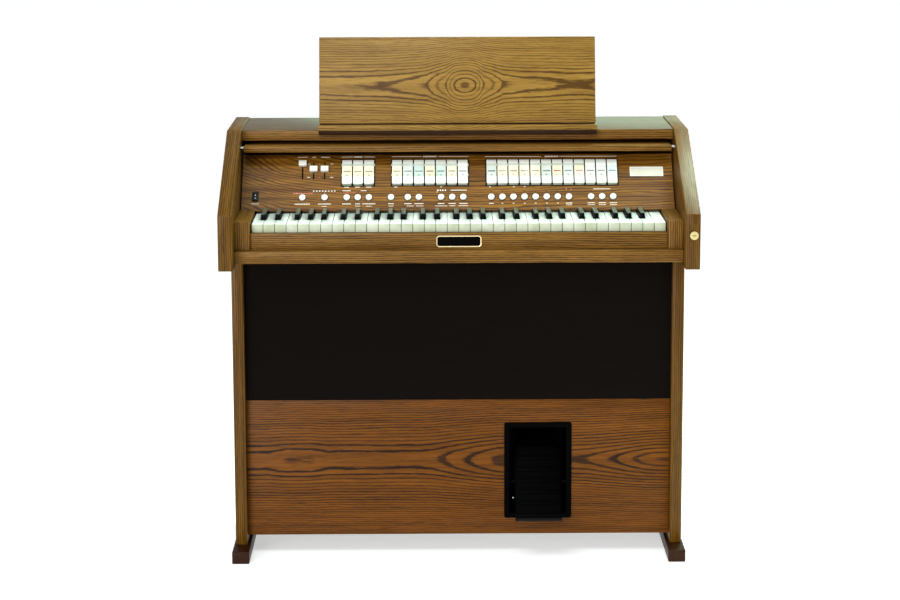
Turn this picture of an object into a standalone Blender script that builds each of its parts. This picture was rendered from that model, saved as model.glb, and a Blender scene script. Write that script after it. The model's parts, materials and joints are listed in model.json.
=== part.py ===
"""Electronic spinet organ with one manual, a sliding lid, stop tabs and a swell pedal.

Metres, +Z up. X runs to the player's right and +Y points away from the player.
The origin is on the floor, below the middle of the case.
"""
import bpy
from math import atan2, cos, pi, radians, sin
from mathutils import Matrix, Vector

# Gaps between pieces
GAP = 0.0003            # seated faces
FIT = 0.0008            # wood in wood, easy fit
CUT = 0.004             # how far a cutter runs past a face
OVERLAP = 0.0002        # how far joined shapes run past each other

# Case
HALF_WIDTH = 0.4868
FRONT_Y = -0.2465       # nose of the cheeks
BACK_Y = 0.2465
CHEEK_T = 0.0295
CHEEK_TOP_Z = 0.9295
CHEEK_BREAK_Y = 0.0078  # where the level top turns down to the nose
NOSE_TOP_Z = 0.7885
NOSE_BOTTOM_Z = 0.6750
SIDE_T = 0.0250
SIDE_FRONT_Y = -0.0044
FOOT_WIDTH = 0.0371
FOOT_HEIGHT = 0.0268
FOOT_FRONT_Y = -0.0570
FOOT_BACK_Y = 0.2490     # the feet reach a little behind the case
TOP_T = 0.0220
TOP_DROP = 0.0022       # top panel below the cheek tops
TOP_FRONT_Y = 0.0255
BACK_BOARD_T = 0.0050
BACK_BOARD_INSET = 0.0070
BACK_BOARD_BOTTOM_Z = 0.0600
VENT_Z = 0.8000         # lower row of vents
VENT_ROWS = 2
VENT_COLUMNS = 5
VENT_SIZE = (0.080, 0.006)
VENT_PITCH = (0.110, 0.022)

# Lower front
KNEE_RECESS = 0.0200    # knee panel behind the fronts of the side panels
KNEE_T = 0.0180
KNEE_BOTTOM_Z = 0.0430
KNEE_TOP_Z = 0.3427
CLOTH_T = 0.0020
BAFFLE_T = 0.0150
SPEAKER_X = 0.2450
SPEAKER_Z = 0.5150
SPEAKER_HOLE_R = 0.0530
SPEAKER_R = 0.0650
SPEAKER_RIM_T = 0.0040
SPEAKER_NECK_R = 0.0340
MAGNET_R = 0.0400
MAGNET_DEPTH = 0.0340   # from the baffle to the magnet
SPEAKER_DEPTH = 0.0560
DUST_CAP_R = 0.0160
CONE_DEPTH = 0.0220

# Key bed and what stands on it
BED_T = 0.0250
BED_BOTTOM_Z = 0.6840
RAIL_FRONT_Y = -0.2115
RAIL_DEPTH = 0.0200
BLOCK_GAP = 0.0029      # key blocks to the outermost keys
BLOCK_BACK_GAP = 0.0010 # key blocks to the panel
BLOCK_FRONT_Y = -0.2015
BLOCK_TOP_Z = 0.7690
SLIP_FRONT_Y = -0.1935
SLIP_T = 0.0090
SLIP_TOP_Z = 0.7433
PLATE_SIZE = (0.0920, 0.0235)
PLATE_CORNER = 0.0040
PLATE_T = 0.0015

# Keys
NATURAL_PITCH = 0.0235
OCTAVES = 5
KEY_GAP = 0.0010
KEY_FRONT_Y = -0.1830
KEY_TOP_Z = 0.7611
KEY_FRONT_HEIGHT = 0.0173
HEAD_LENGTH = 0.0500
HEAD_UNDERCUT = 0.0020
TAIL_T = 0.0120
SHARP_WIDTH = 0.0115
SHARP_RISE = 0.0120
SHARP_LENGTH = 0.0770
SHARP_NOSE = 0.0070     # slope of a sharp's front
SHARP_TAIL = 0.0020     # slope of a sharp's back
SHARP_STEM_DROP = 0.0040
SHARP_STEM_BOTTOM_Z = 0.7370
NATURAL_WEB = (0.0200, 0.0360, 0.7450)
SHARP_WEB = (0.0020, 0.0160, 0.7350, 0.7455)
WEB_DROP = 0.0006       # web below the faces of the naturals
NATURAL_PIVOT_Y = 0.0280
SHARP_PIVOT_Y = 0.0090
FULCRUM_WIDTH = 0.0060
FRAME_T = 0.0020
FRAME_FRONT_Y = -0.1650
FRAME_INSET = 0.0020    # frame end inside the outermost key
SHARP_SHIFT = {0: -0.0030, 1: 0.0030, 3: -0.0040, 4: 0.0, 5: 0.0040}

# Control panel, measured along its slope from its bottom front edge
PANEL_Y = -0.0525
PANEL_Z = 0.7680
PANEL_SLOPE = atan2(0.7682, 0.6402)
PANEL_LENGTH = 0.1365
PANEL_T = 0.0060
CONTROL_PITCH = 0.0232
TAB_GAP = 0.0010
TAB_BOTTOM_S = 0.0606
TAB_TOP_S = 0.1234
TAB_BEND_S = 0.1090
TAB_RISE = 0.0085       # height of the tab's bend above the panel
TAB_LIP_RISE = 0.0070
TAB_TOP_RISE = 0.0015
TAB_SKIN = 0.0010       # how far the tab's edges reach below the panel
TAB_STEM = (0.0810, 0.1030)
TAB_STEM_TAPER = 0.0030
TAB_STEM_DEPTH = 0.0120
TAB_PIVOT = (0.0920, -0.0080)
WINDOW_SIDE_GAP = 0.0004
WINDOW_END_GAPS = (0.0021, 0.0011)
CARRIER = (0.0860, 0.0980, -0.0150, -0.0095)
TAB_GROUPS = {"low_tabs": (-0.2107, 3), "middle_tabs": (-0.0588, 7), "high_tabs": (0.1990, 12)}
PISTON_R = 0.00725
PISTON_S = 0.0303
PISTON_RISE = 0.0040
PISTON_DEPTH = 0.0120
PISTON_FIT = 0.0005
PISTON_CARRIER = (0.0085, 0.0070, -0.0135, -0.0100)
PISTON_GROUPS = {
    "pistons_a": (-0.3270, 2, 0.0466), "pistons_b": (-0.2339, 3, 0.0233), "pistons_c": (-0.1408, 1, 0.0233),
    "pistons_d": (-0.1053, 2, 0.0233), "pistons_e": (-0.0354, 3, 0.0233), "pistons_f": (0.0702, 8, 0.0233),
    "pistons_g": (0.2800, 3, 0.0233)}
SLIDERS = {"slider_1": (-0.3281, 0.1128), "slider_2": (-0.3048, 0.0990), "slider_3": (-0.2815, 0.0990)}
SLIDER_CAP = (0.0165, 0.0120, 0.0080)
SLIDER_LIFT = 0.0007    # cap above the panel
SLIDER_STEM = (0.0022, 0.0050, 0.0120)
FINGER_GROOVE = (0.0020, 0.0011)
SLOT = (0.0030, 0.0763, 0.1185)
ROCKER_X = -0.4259
ROCKER_S = 0.0337
ROCKER_SIZE = (0.0130, 0.0210)
ROCKER_RISE = (0.0050, 0.0015, 0.0010)
ROCKER_DEPTH = 0.0080
ROCKER_PIVOT_DEPTH = 0.0040
ROCKER_GAPS = (0.0005, 0.0013)
LABEL = (0.3997, 0.0920, 0.0705, 0.0230)
LABEL_T = 0.0010

# Lid
LID_SIDE_GAP = 0.0063
LID_FRONT_Y = -0.0085
LID_DROP = 0.0088       # lid below the underside of the top
LID_RAIL = (0.0250, 0.0115)
LID_T = 0.0060
LID_REACH = 0.2060      # front edge to the rod
LID_REAR_RAIL = 0.0160
LID_ROD_R = 0.0025
LID_PIN_R = 0.0025
LID_PIN_BACK = 0.0200   # front edge to the guide pins
LID_PIN_DROP = 0.0045   # top face to the pins and the rod
LID_TRAVEL = 0.2310
LID_TILT = radians(33.0)
GROOVE_WIDTH = 0.0062
GROOVE_DEPTH = 0.0090
PIN_REACH = 0.0070      # how far a pin stands into its groove
PIN_ROOT = 0.0100       # how far a pin starts inside the lid
ROD_PLAY = 0.0005

# Music desk
DESK_HALF_WIDTH = 0.2925
LEDGE_HALF_WIDTH = 0.2950
LEDGE_T = 0.0114
LEDGE_FRONT_Y = 0.0085
LEDGE_DEPTH = 0.0280
DESK_FOOT_Y = 0.0205    # front of the board where it meets the ledge
DESK_LENGTH = 0.1840
DESK_T = 0.0120
DESK_LEAN = radians(12.5)
BATTEN_HALF_WIDTH = 0.2400
BATTEN_HEIGHT = 0.0500
BATTEN_DEPTH = 0.0300
BATTEN_TOP = 0.0080

# Swell pedal
PEDAL_X = 0.1718
FLANGE_SIZE = (0.1452, 0.2125, 0.0030)
FLANGE_BOTTOM_Z = 0.0793
WELL_WALL = 0.0030
WELL_WIDTH = 0.1230
WELL_HEIGHT = 0.1900
WELL_BACK_Y = 0.1450
TREAD_WIDTH = 0.1000
TREAD_LENGTH = 0.1850
TREAD_T = 0.0080
TREAD_ANGLE = radians(52.0)
TREAD_HEEL = (-0.0450, 0.0950)
TREAD_LIP = (0.0060, 0.0100)
TREAD_RIBS = 6
TREAD_RIB = (0.0100, 0.0022)
TREAD_RIB_PITCH = 0.0260
TREAD_RIB_START = 0.0300
TREAD_RIB_INSET = 0.0060
LUG_T = 0.0080
LUG_INSET = 0.0010
LUG_HALF_WIDTHS = (0.0160, 0.0090)
LUG_TIP = 0.0080        # lug past the axle's centre
AXLE_ALONG = 0.0980
AXLE_BELOW = 0.0320
AXLE_R = 0.0040
AXLE_END = 0.0020       # axle past the well's walls

# Lock
LOCK_INSET = 0.0127     # lock centre to the cheek's outer face
LOCK_Z = 0.7450
LOCK_FACE_R = 0.0095
LOCK_FACE_T = 0.0022
LOCK_FACE_EDGE = (0.0008, 0.0010)
KEY_SLOT = (0.0080, 0.0014, 0.0040)
LOCK_BARREL_R = 0.0070
LOCK_BARREL_LENGTH = 0.0180
LOCK_BORE_END = 0.0010

# Mains inlet in the back board
INLET_X = 0.3400
INLET_Z = 0.7500
INLET_BODY = (0.0270, 0.0200)
INLET_FLANGE = (0.0500, 0.0280, 0.0025)
INLET_DEPTH = 0.0220
INLET_MOUTH = (0.0230, 0.0150, 0.0160)
INLET_PIN = (0.0020, 0.0044)
INLET_PIN_Y = (0.0010, 0.0180)
INLET_PINS = ((-0.0070, -0.0010), (0.0, 0.0020), (0.0070, -0.0010))

# Electronics that stand on the key bed behind the keys
BOARD = (-0.3300, 0.0600, 0.0700, 0.2150)
BOARD_T = 0.0018
BOARD_LIFT = 0.0080
POST_R = 0.0040
POST_INSET = 0.0120
CHIP = (0.0300, 0.0100, 0.0045)
CHIP_GRID = (7, 2)
CHIP_PITCH = (0.0450, 0.0500)
CHIP_START = (0.0350, 0.0300)
AMPLIFIER = (0.1000, 0.2200, 0.0750, 0.2100)
CHASSIS_HEIGHT = 0.0120
FINS = 8
FIN = (0.0040, 0.0450)
FIN_PITCH = 0.0120
FIN_INSET = (0.0120, 0.0200)
TRANSFORMER = (0.2600, 0.3400, 0.0900, 0.1500)
TRANSFORMER_FOOT_T = 0.0030
CORE_INSET = (0.0120, 0.0100)
CORE_HEIGHT = 0.0520
COIL_INSET = 0.0220
COIL_OVERHANG = 0.0060
COIL_HEIGHTS = (0.0120, 0.0420)

# Values worked out from those above
INNER_X = HALF_WIDTH - CHEEK_T
TOP_Z = CHEEK_TOP_Z - TOP_DROP
INSIDE_HALF = INNER_X - FIT / 2  # half width of what fits between the cheeks
KNEE_Y = SIDE_FRONT_Y + KNEE_RECESS
BAFFLE_Y = KNEE_Y + CLOTH_T + GAP
WELL_BOTTOM_Z = FLANGE_BOTTOM_Z + (FLANGE_SIZE[1] - WELL_HEIGHT) / 2
BED_TOP_Z = BED_BOTTOM_Z + BED_T
BACK_BOARD_Y = BACK_Y - BACK_BOARD_INSET - BACK_BOARD_T
KEYS_HALF_WIDTH = NATURAL_PITCH * (7 * OCTAVES + 1) / 2
BLOCK_INNER_X = KEYS_HALF_WIDTH + BLOCK_GAP
LOCK_X = HALF_WIDTH - LOCK_INSET
LID_HALF_WIDTH = INNER_X - LID_SIDE_GAP
LID_TOP_Z = TOP_Z - TOP_T - LID_DROP
ROD_Y = LID_FRONT_Y + LID_REACH
ROD_Z = LID_TOP_Z - LID_PIN_DROP


def material(name, colour, roughness, metallic=0.0):
    """Make a Principled material with a plain colour."""
    made = bpy.data.materials.new(name)
    made.use_nodes = True
    shader = made.node_tree.nodes["Principled BSDF"]
    shader.inputs["Base Color"].default_value = (*colour, 1.0)
    shader.inputs["Roughness"].default_value = roughness
    shader.inputs["Metallic"].default_value = metallic
    return made


def mesh_object(name, vertices, faces):
    """Put a mesh made of points and faces into the scene."""
    mesh = bpy.data.meshes.new(name)
    mesh.from_pydata([tuple(v) for v in vertices], [], faces)
    mesh.update()
    made = bpy.data.objects.new(name, mesh)
    bpy.context.scene.collection.objects.link(made)
    return made


def prism(name, outline, low, high, axis="X"):
    """Extrude an outline along an axis. Points are (y, z), (x, z) or (x, y) for X, Y and Z."""
    area = sum(a[0] * b[1] - b[0] * a[1] for a, b in zip(outline, outline[1:] + outline[:1]))
    if (area > 0) == (axis == "Y"):
        outline = outline[::-1]
    slot = "XYZ".index(axis)
    count = len(outline)
    vertices = [(*p[:slot], t, *p[slot:]) for t in (low, high) for p in outline]
    faces = [tuple(range(count))[::-1], tuple(range(count, 2 * count))]
    for i in range(count):
        j = (i + 1) % count
        faces.append((i, j, count + j, count + i))
    return mesh_object(name, vertices, faces)


def box(name, x, y, z):
    """Make a box from its low and high X, Y and Z."""
    return prism(name, [(y[0], z[0]), (y[1], z[0]), (y[1], z[1]), (y[0], z[1])], x[0], x[1])


def about(centre, size):
    """Low and high of a size laid evenly about a centre."""
    return centre - size / 2, centre + size / 2


def outwards(side, near, far):
    """Low and high X of a span that starts near the middle on one side of the organ."""
    return tuple(sorted((side * near, side * far)))


def circle(centre, radius, sides, start=0.0, turn=2 * pi):
    """List points on a circle or on an arc of it."""
    steps = sides if turn == 2 * pi else sides + 1
    return [(centre[0] + radius * cos(start + turn * i / sides),
             centre[1] + radius * sin(start + turn * i / sides)) for i in range(steps)]


def rod(name, axis, centre, radius, low, high, sides=16):
    """Make a round bar along an axis."""
    return prism(name, circle(centre, radius, sides), low, high, axis)


def turned(name, profile, centre, sides=24):
    """Spin (radius, y) points round an axis along Y. The first and last radius are 0."""
    vertices = [(centre[0], profile[0][1], centre[1])]
    for radius, y in profile[1:-1]:
        vertices += [(x, y, z) for x, z in circle(centre, radius, sides)]
    vertices.append((centre[0], profile[-1][1], centre[1]))
    faces = []
    rings = len(profile) - 2
    for i in range(sides):
        j = (i + 1) % sides
        faces.append((0, 1 + i, 1 + j))
        for k in range(rings - 1):
            a = 1 + k * sides
            faces.append((a + i, a + sides + i, a + sides + j, a + j))
        last = 1 + (rings - 1) * sides
        faces.append((last + i, len(vertices) - 1, last + j))
    return mesh_object(name, vertices, faces)


def operand(shapes, name):
    """Gather shapes that only shape another piece, and hide them."""
    group = bpy.data.collections.new(name)
    bpy.context.scene.collection.children.link(group)
    for shape in shapes:
        for holder in list(shape.users_collection):
            holder.objects.unlink(shape)
        group.objects.link(shape)
        shape.hide_render = True
        shape.display_type = "WIRE"
    return group


def combine(piece, shapes, operation, name=None):
    """Join shapes to a piece, or cut them from it."""
    modifier = piece.modifiers.new(operation.lower(), "BOOLEAN")
    modifier.operation = operation
    modifier.solver = "EXACT"
    modifier.operand_type = "COLLECTION"
    modifier.collection = operand(shapes, name or f"{piece.name}_{operation.lower()}")


def finish(piece, name, look, joined=(), cut=(), parent=None, pivot=None):
    """Name a piece, give it its material, its joined and cut shapes and its place."""
    piece.name = name
    piece.data.name = name
    piece.data.materials.append(look)
    if parent:
        for shape in (piece, *joined, *cut):
            shape.parent = parent
    if pivot:
        piece.data.transform(Matrix.Translation(-Vector(pivot)))
        piece.location = pivot
    if joined:
        combine(piece, joined, "UNION")
    if cut:
        combine(piece, cut, "DIFFERENCE")
    return piece


def smooth(piece):
    """Shade a round piece smooth and keep its sharp edges."""
    piece.data.shade_smooth()
    piece.data.set_sharp_from_angle(angle=radians(35))
    return piece


def lid_point(travel, forward):
    """Place a point of the lid, given forward of its rod, after some travel."""
    tilt = LID_TILT * travel / LID_TRAVEL
    return ROD_Y - travel - forward * cos(tilt), ROD_Z - forward * sin(tilt)


def groove_outline(points):
    """Widen a path into the outline of a groove with round ends."""
    left, right = [], []
    for i, point in enumerate(points):
        before = points[max(i - 1, 0)]
        after = points[min(i + 1, len(points) - 1)]
        heading = Vector((after[0] - before[0], after[1] - before[1])).normalized()
        side = Vector((-heading.y, heading.x)) * GROOVE_WIDTH / 2
        left.append((point[0] + side.x, point[1] + side.y))
        right.append((point[0] - side.x, point[1] - side.y))
    last = Vector(points[-1]) - Vector(points[-2])
    first = Vector(points[1]) - Vector(points[0])
    end_angle = atan2(last.y, last.x)
    start_angle = atan2(first.y, first.x)
    end = circle(points[-1], GROOVE_WIDTH / 2, 6, end_angle + pi / 2, -pi)[1:-1]
    start = circle(points[0], GROOVE_WIDTH / 2, 6, start_angle - pi / 2, -pi)[1:-1]
    return left + end + right[::-1] + start


def front_pin_path():
    """List the places that a guide pin passes from the open to the closed lid."""
    return [lid_point(LID_TRAVEL * i / 12, LID_REACH - LID_PIN_BACK) for i in range(13)]


def make_cheek(name, side, look):
    """A cheek: a board with a sloping front and grooves for the lid on its inner face."""
    outline = [(BACK_Y, CHEEK_TOP_Z), (CHEEK_BREAK_Y, CHEEK_TOP_Z), (FRONT_Y, NOSE_TOP_Z),
               (FRONT_Y, NOSE_BOTTOM_Z), (BACK_Y, NOSE_BOTTOM_Z)]
    cheek = prism(name, outline, *outwards(side, INNER_X, HALF_WIDTH))
    pin_span = outwards(side, INNER_X - CUT, INNER_X + GROOVE_DEPTH)
    rod_span = outwards(side, INNER_X - CUT - OVERLAP, INNER_X + GROOVE_DEPTH + OVERLAP)
    rod_path = [(ROD_Y + ROD_PLAY, ROD_Z), (ROD_Y - LID_TRAVEL / 2, ROD_Z),
                (ROD_Y - LID_TRAVEL - ROD_PLAY, ROD_Z)]
    cuts = [prism("pin_groove", groove_outline(front_pin_path()), *pin_span),
            prism("rod_groove", groove_outline(rod_path), *rod_span)]
    if side > 0:
        cuts.append(rod("lock_bore", "Y", (LOCK_X, LOCK_Z), LOCK_BARREL_R + GAP, FRONT_Y - CUT,
                        FRONT_Y + LOCK_BARREL_LENGTH + LOCK_BORE_END, 20))
    finish(cheek, name, look, cut=cuts)


def make_case(oak, dark_oak, board, cloth):
    """The cheeks, side panels, feet, top, back and lower front."""
    for side, word in ((-1, "left"), (1, "right")):
        make_cheek(f"{word}_cheek", side, oak)
        panel = box("side", outwards(side, INNER_X, INNER_X + SIDE_T), (SIDE_FRONT_Y, BACK_Y),
                    (FOOT_HEIGHT + GAP, NOSE_BOTTOM_Z - GAP))
        finish(panel, f"{word}_side_panel", oak)
        foot = box("foot", outwards(side, HALF_WIDTH - FOOT_WIDTH, HALF_WIDTH), (FOOT_FRONT_Y, FOOT_BACK_Y),
                   (0.0, FOOT_HEIGHT))
        finish(foot, f"{word}_foot", dark_oak)
    top = box("top", (-INSIDE_HALF, INSIDE_HALF), (TOP_FRONT_Y, BACK_Y), (TOP_Z - TOP_T, TOP_Z))
    finish(top, "top_panel", oak)
    make_back(board)
    make_lower_front(oak, board, cloth)


def make_back(board):
    """The back board, with vents and a cut-out for the mains inlet."""
    back = box("back", (-INSIDE_HALF, INSIDE_HALF), (BACK_BOARD_Y, BACK_BOARD_Y + BACK_BOARD_T),
               (BACK_BOARD_BOTTOM_Z, TOP_Z - TOP_T - GAP))
    through = (BACK_BOARD_Y - CUT, BACK_BOARD_Y + BACK_BOARD_T + CUT)
    cuts = []
    for row in range(VENT_ROWS):
        for column in range(VENT_COLUMNS):
            x = (column - (VENT_COLUMNS - 1) / 2) * VENT_PITCH[0]
            z = VENT_Z + row * VENT_PITCH[1]
            cuts.append(box("vent", about(x, VENT_SIZE[0]), through, about(z, VENT_SIZE[1])))
    cuts.append(box("inlet_cut", about(INLET_X, INLET_BODY[0] + 2 * GAP), through,
                    about(INLET_Z, INLET_BODY[1] + 2 * GAP)))
    finish(back, "back_board", board, cut=cuts)


def make_inlet(plastic):
    """The mains inlet: a flanged socket with its three pins."""
    outside = BACK_BOARD_Y + BACK_BOARD_T
    flange = box("inlet", about(INLET_X, INLET_FLANGE[0]), (outside + GAP, outside + GAP + INLET_FLANGE[2]),
                 about(INLET_Z, INLET_FLANGE[1]))
    body = box("inlet_body", about(INLET_X, INLET_BODY[0]),
               (outside - INLET_DEPTH, outside + GAP + INLET_FLANGE[2] / 2), about(INLET_Z, INLET_BODY[1]))
    mouth = box("inlet_mouth", about(INLET_X, INLET_MOUTH[0]),
                (outside - INLET_MOUTH[2], outside + INLET_DEPTH), about(INLET_Z, INLET_MOUTH[1]))
    socket = finish(flange, "mains_inlet", plastic, joined=[body], cut=[mouth])
    depth = (outside - INLET_PIN_Y[1], outside - INLET_PIN_Y[0])
    pins = [box("inlet_pin", about(INLET_X + dx, INLET_PIN[0]), depth, about(INLET_Z + dz, INLET_PIN[1]))
            for dx, dz in INLET_PINS]
    combine(socket, pins, "UNION", "mains_inlet_pins")


def make_lower_front(oak, board, cloth):
    """The knee panel with the pedal opening, the speaker baffle and its cloth."""
    across = (-INSIDE_HALF, INSIDE_HALF)
    knee = box("knee", across, (KNEE_Y, KNEE_Y + KNEE_T), (KNEE_BOTTOM_Z, KNEE_TOP_Z))
    opening = box("pedal_cut", about(PEDAL_X, WELL_WIDTH + 2 * WELL_WALL + 2 * GAP),
                  (KNEE_Y - CUT, KNEE_Y + KNEE_T + CUT),
                  (WELL_BOTTOM_Z - WELL_WALL - GAP, WELL_BOTTOM_Z + WELL_HEIGHT + WELL_WALL + GAP))
    finish(knee, "knee_panel", oak, cut=[opening])
    height = (KNEE_TOP_Z + GAP, BED_BOTTOM_Z - GAP)
    finish(box("sheet", across, (KNEE_Y, KNEE_Y + CLOTH_T), height), "grille_cloth", cloth)
    baffle = box("baffle", across, (BAFFLE_Y, BAFFLE_Y + BAFFLE_T), height)
    holes = [rod("speaker_hole", "Y", (side * SPEAKER_X, SPEAKER_Z), SPEAKER_HOLE_R, BAFFLE_Y - CUT,
                 BAFFLE_Y + BAFFLE_T + CUT, 24) for side in (-1, 1)]
    finish(baffle, "speaker_baffle", board, cut=holes)


def make_speakers(frame_look):
    """Two speakers behind the baffle, each a turned basket, cone and magnet."""
    seat = BAFFLE_Y + BAFFLE_T + GAP
    cone_r = SPEAKER_HOLE_R - SPEAKER_RIM_T
    rim = SPEAKER_RIM_T
    steps = [(0.0, CONE_DEPTH - rim / 2), (DUST_CAP_R, CONE_DEPTH - rim), (DUST_CAP_R + rim, CONE_DEPTH),
             (cone_r, rim), (SPEAKER_HOLE_R, 0.0), (SPEAKER_R, 0.0), (SPEAKER_R, rim),
             (SPEAKER_HOLE_R, 1.25 * rim), (SPEAKER_NECK_R, CONE_DEPTH + 2 * rim),
             (SPEAKER_NECK_R, MAGNET_DEPTH), (MAGNET_R, MAGNET_DEPTH), (MAGNET_R, SPEAKER_DEPTH),
             (0.0, SPEAKER_DEPTH)]
    profile = [(radius, seat + depth) for radius, depth in steps]
    for side, word in ((-1, "left"), (1, "right")):
        speaker = turned("speaker", profile, (side * SPEAKER_X, SPEAKER_Z))
        smooth(finish(speaker, f"{word}_speaker", frame_look))


def make_key_bed(oak, board, metal, plate_look):
    """The key bed with its rail, end blocks, slip, key frame and blank plate."""
    across = (-INSIDE_HALF, INSIDE_HALF)
    height = (BED_BOTTOM_Z, BED_TOP_Z)
    bed = box("bed", across, (RAIL_FRONT_Y + RAIL_DEPTH + GAP, BACK_BOARD_Y - GAP), height)
    finish(bed, "key_bed", board)
    rail = box("rail", across, (RAIL_FRONT_Y, RAIL_FRONT_Y + RAIL_DEPTH), height)
    finish(rail, "bed_rail", oak)
    for side, word in ((-1, "left"), (1, "right")):
        block = box("block", outwards(side, BLOCK_INNER_X, INSIDE_HALF),
                    (BLOCK_FRONT_Y, PANEL_Y - BLOCK_BACK_GAP), (BED_TOP_Z + GAP, BLOCK_TOP_Z))
        finish(block, f"{word}_key_block", oak)
    slip_half = BLOCK_INNER_X - GAP
    slip = box("slip", (-slip_half, slip_half), (SLIP_FRONT_Y, SLIP_FRONT_Y + SLIP_T),
               (BED_TOP_Z + GAP, SLIP_TOP_Z))
    finish(slip, "key_slip", oak)
    make_key_frame(metal)
    left, right = about(0.0, PLATE_SIZE[0])
    low, high = about((BED_TOP_Z + SLIP_TOP_Z) / 2, PLATE_SIZE[1])
    c = PLATE_CORNER
    outline = [(left + c, low), (right - c, low), (right, low + c), (right, high - c), (right - c, high),
               (left + c, high), (left, high - c), (left, low + c)]
    plate = prism("plate", outline, SLIP_FRONT_Y - GAP - PLATE_T, SLIP_FRONT_Y - GAP, "Y")
    finish(plate, "slip_plate", plate_look)


def make_key_frame(metal):
    """The steel frame that carries the keys on two fulcrums."""
    half = KEYS_HALF_WIDTH - FRAME_INSET
    low = BED_TOP_Z + GAP
    base = box("frame", (-half, half), (FRAME_FRONT_Y, NATURAL_WEB[1]), (low, low + FRAME_T))
    rails = ((NATURAL_PIVOT_Y, NATURAL_WEB[2]), (SHARP_PIVOT_Y, SHARP_WEB[2]))
    ribs = [box("rib", (OVERLAP - half, half - OVERLAP), about(y, FULCRUM_WIDTH), (low + FRAME_T / 2, z - GAP))
            for y, z in rails]
    finish(base, "key_frame", metal, joined=ribs)


def natural_outline(index, left, sharps, head_left, head_right):
    """Outline of one natural seen from above, notched where its sharps stand."""
    notch_y = KEY_FRONT_Y + HEAD_LENGTH
    back = NATURAL_WEB[1]
    tail_left = head_left
    tail_right = head_right
    for boundary, shift in sharps.items():
        centre = left + (boundary + 1) * NATURAL_PITCH + shift
        if boundary == index:
            tail_right = centre - SHARP_WIDTH / 2 - KEY_GAP
        if boundary == index - 1:
            tail_left = centre + SHARP_WIDTH / 2 + KEY_GAP
    points = [(head_left, KEY_FRONT_Y), (head_right, KEY_FRONT_Y)]
    if tail_right < head_right:
        points += [(head_right, notch_y), (tail_right, notch_y)]
    points += [(tail_right, back), (tail_left, back)]
    if tail_left > head_left:
        points += [(tail_left, notch_y), (head_left, notch_y)]
    return points


def make_naturals(name, left, count, sharps, look):
    """The naturals of an octave, joined by a web behind the fulcrum."""
    shapes = []
    for i in range(count):
        head_left = left + i * NATURAL_PITCH + KEY_GAP / 2
        head_right = head_left + NATURAL_PITCH - KEY_GAP
        outline = natural_outline(i, left, sharps, head_left, head_right)
        shapes.append(prism("key", outline, KEY_TOP_Z - TAIL_T, KEY_TOP_Z, "Z"))
        shapes.append(box("key_front", (head_left, head_right),
                          (KEY_FRONT_Y, KEY_FRONT_Y + HEAD_LENGTH - HEAD_UNDERCUT),
                          (KEY_TOP_Z - KEY_FRONT_HEIGHT, KEY_TOP_Z)))
    web = box("web", (left + KEY_GAP / 2, left + count * NATURAL_PITCH - KEY_GAP / 2),
              (NATURAL_WEB[0], NATURAL_WEB[1] + KEY_GAP), (NATURAL_WEB[2], KEY_TOP_Z - WEB_DROP))
    pivot = (left + count * NATURAL_PITCH / 2, NATURAL_PIVOT_Y, NATURAL_WEB[2])
    finish(web, name, look, joined=shapes, pivot=pivot)


def make_sharps(name, left, look):
    """The sharps of an octave, joined by a web below the tails of the naturals."""
    front = KEY_FRONT_Y + HEAD_LENGTH + KEY_GAP
    raised_end = front + SHARP_LENGTH
    stem_top = KEY_TOP_Z - SHARP_STEM_DROP
    top = KEY_TOP_Z + SHARP_RISE
    profile = [(front, SHARP_STEM_BOTTOM_Z), (SHARP_WEB[1], SHARP_STEM_BOTTOM_Z), (SHARP_WEB[1], stem_top),
               (raised_end + SHARP_TAIL, stem_top), (raised_end, top), (front + SHARP_NOSE, top),
               (front, stem_top)]
    centres = [left + (boundary + 1) * NATURAL_PITCH + shift for boundary, shift in SHARP_SHIFT.items()]
    shapes = [prism("sharp", profile, *about(x, SHARP_WIDTH)) for x in centres]
    web = box("web", (centres[0] - SHARP_WIDTH / 2 - OVERLAP, centres[-1] + SHARP_WIDTH / 2 + OVERLAP),
              (SHARP_WEB[0], SHARP_WEB[1] + OVERLAP), (SHARP_WEB[2], SHARP_WEB[3]))
    pivot = ((centres[0] + centres[-1]) / 2, SHARP_PIVOT_Y, SHARP_WEB[2])
    finish(web, name, look, joined=shapes, pivot=pivot)


def make_keys(white, black):
    """Five octaves of naturals and sharps, and the single top key."""
    for octave in range(OCTAVES):
        left = -KEYS_HALF_WIDTH + octave * 7 * NATURAL_PITCH
        make_naturals(f"naturals_{octave + 1}", left, 7, SHARP_SHIFT, white)
        make_sharps(f"sharps_{octave + 1}", left, black)
    make_naturals("top_natural", KEYS_HALF_WIDTH - NATURAL_PITCH, 1, {}, white)


def panel_empty():
    """An empty whose X, Y and Z run across, up and out of the control panel."""
    empty = bpy.data.objects.new("panel_plane", None)
    bpy.context.scene.collection.objects.link(empty)
    empty.location = (0.0, PANEL_Y, PANEL_Z)
    empty.rotation_euler = (PANEL_SLOPE, 0.0, 0.0)
    return empty


def tab_window(centre, count):
    """Low and high X and S of the window that a row of tabs stands in."""
    return (about(centre, count * CONTROL_PITCH + 2 * WINDOW_SIDE_GAP),
            (TAB_BOTTOM_S - WINDOW_END_GAPS[0], TAB_TOP_S + WINDOW_END_GAPS[1]))


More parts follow.
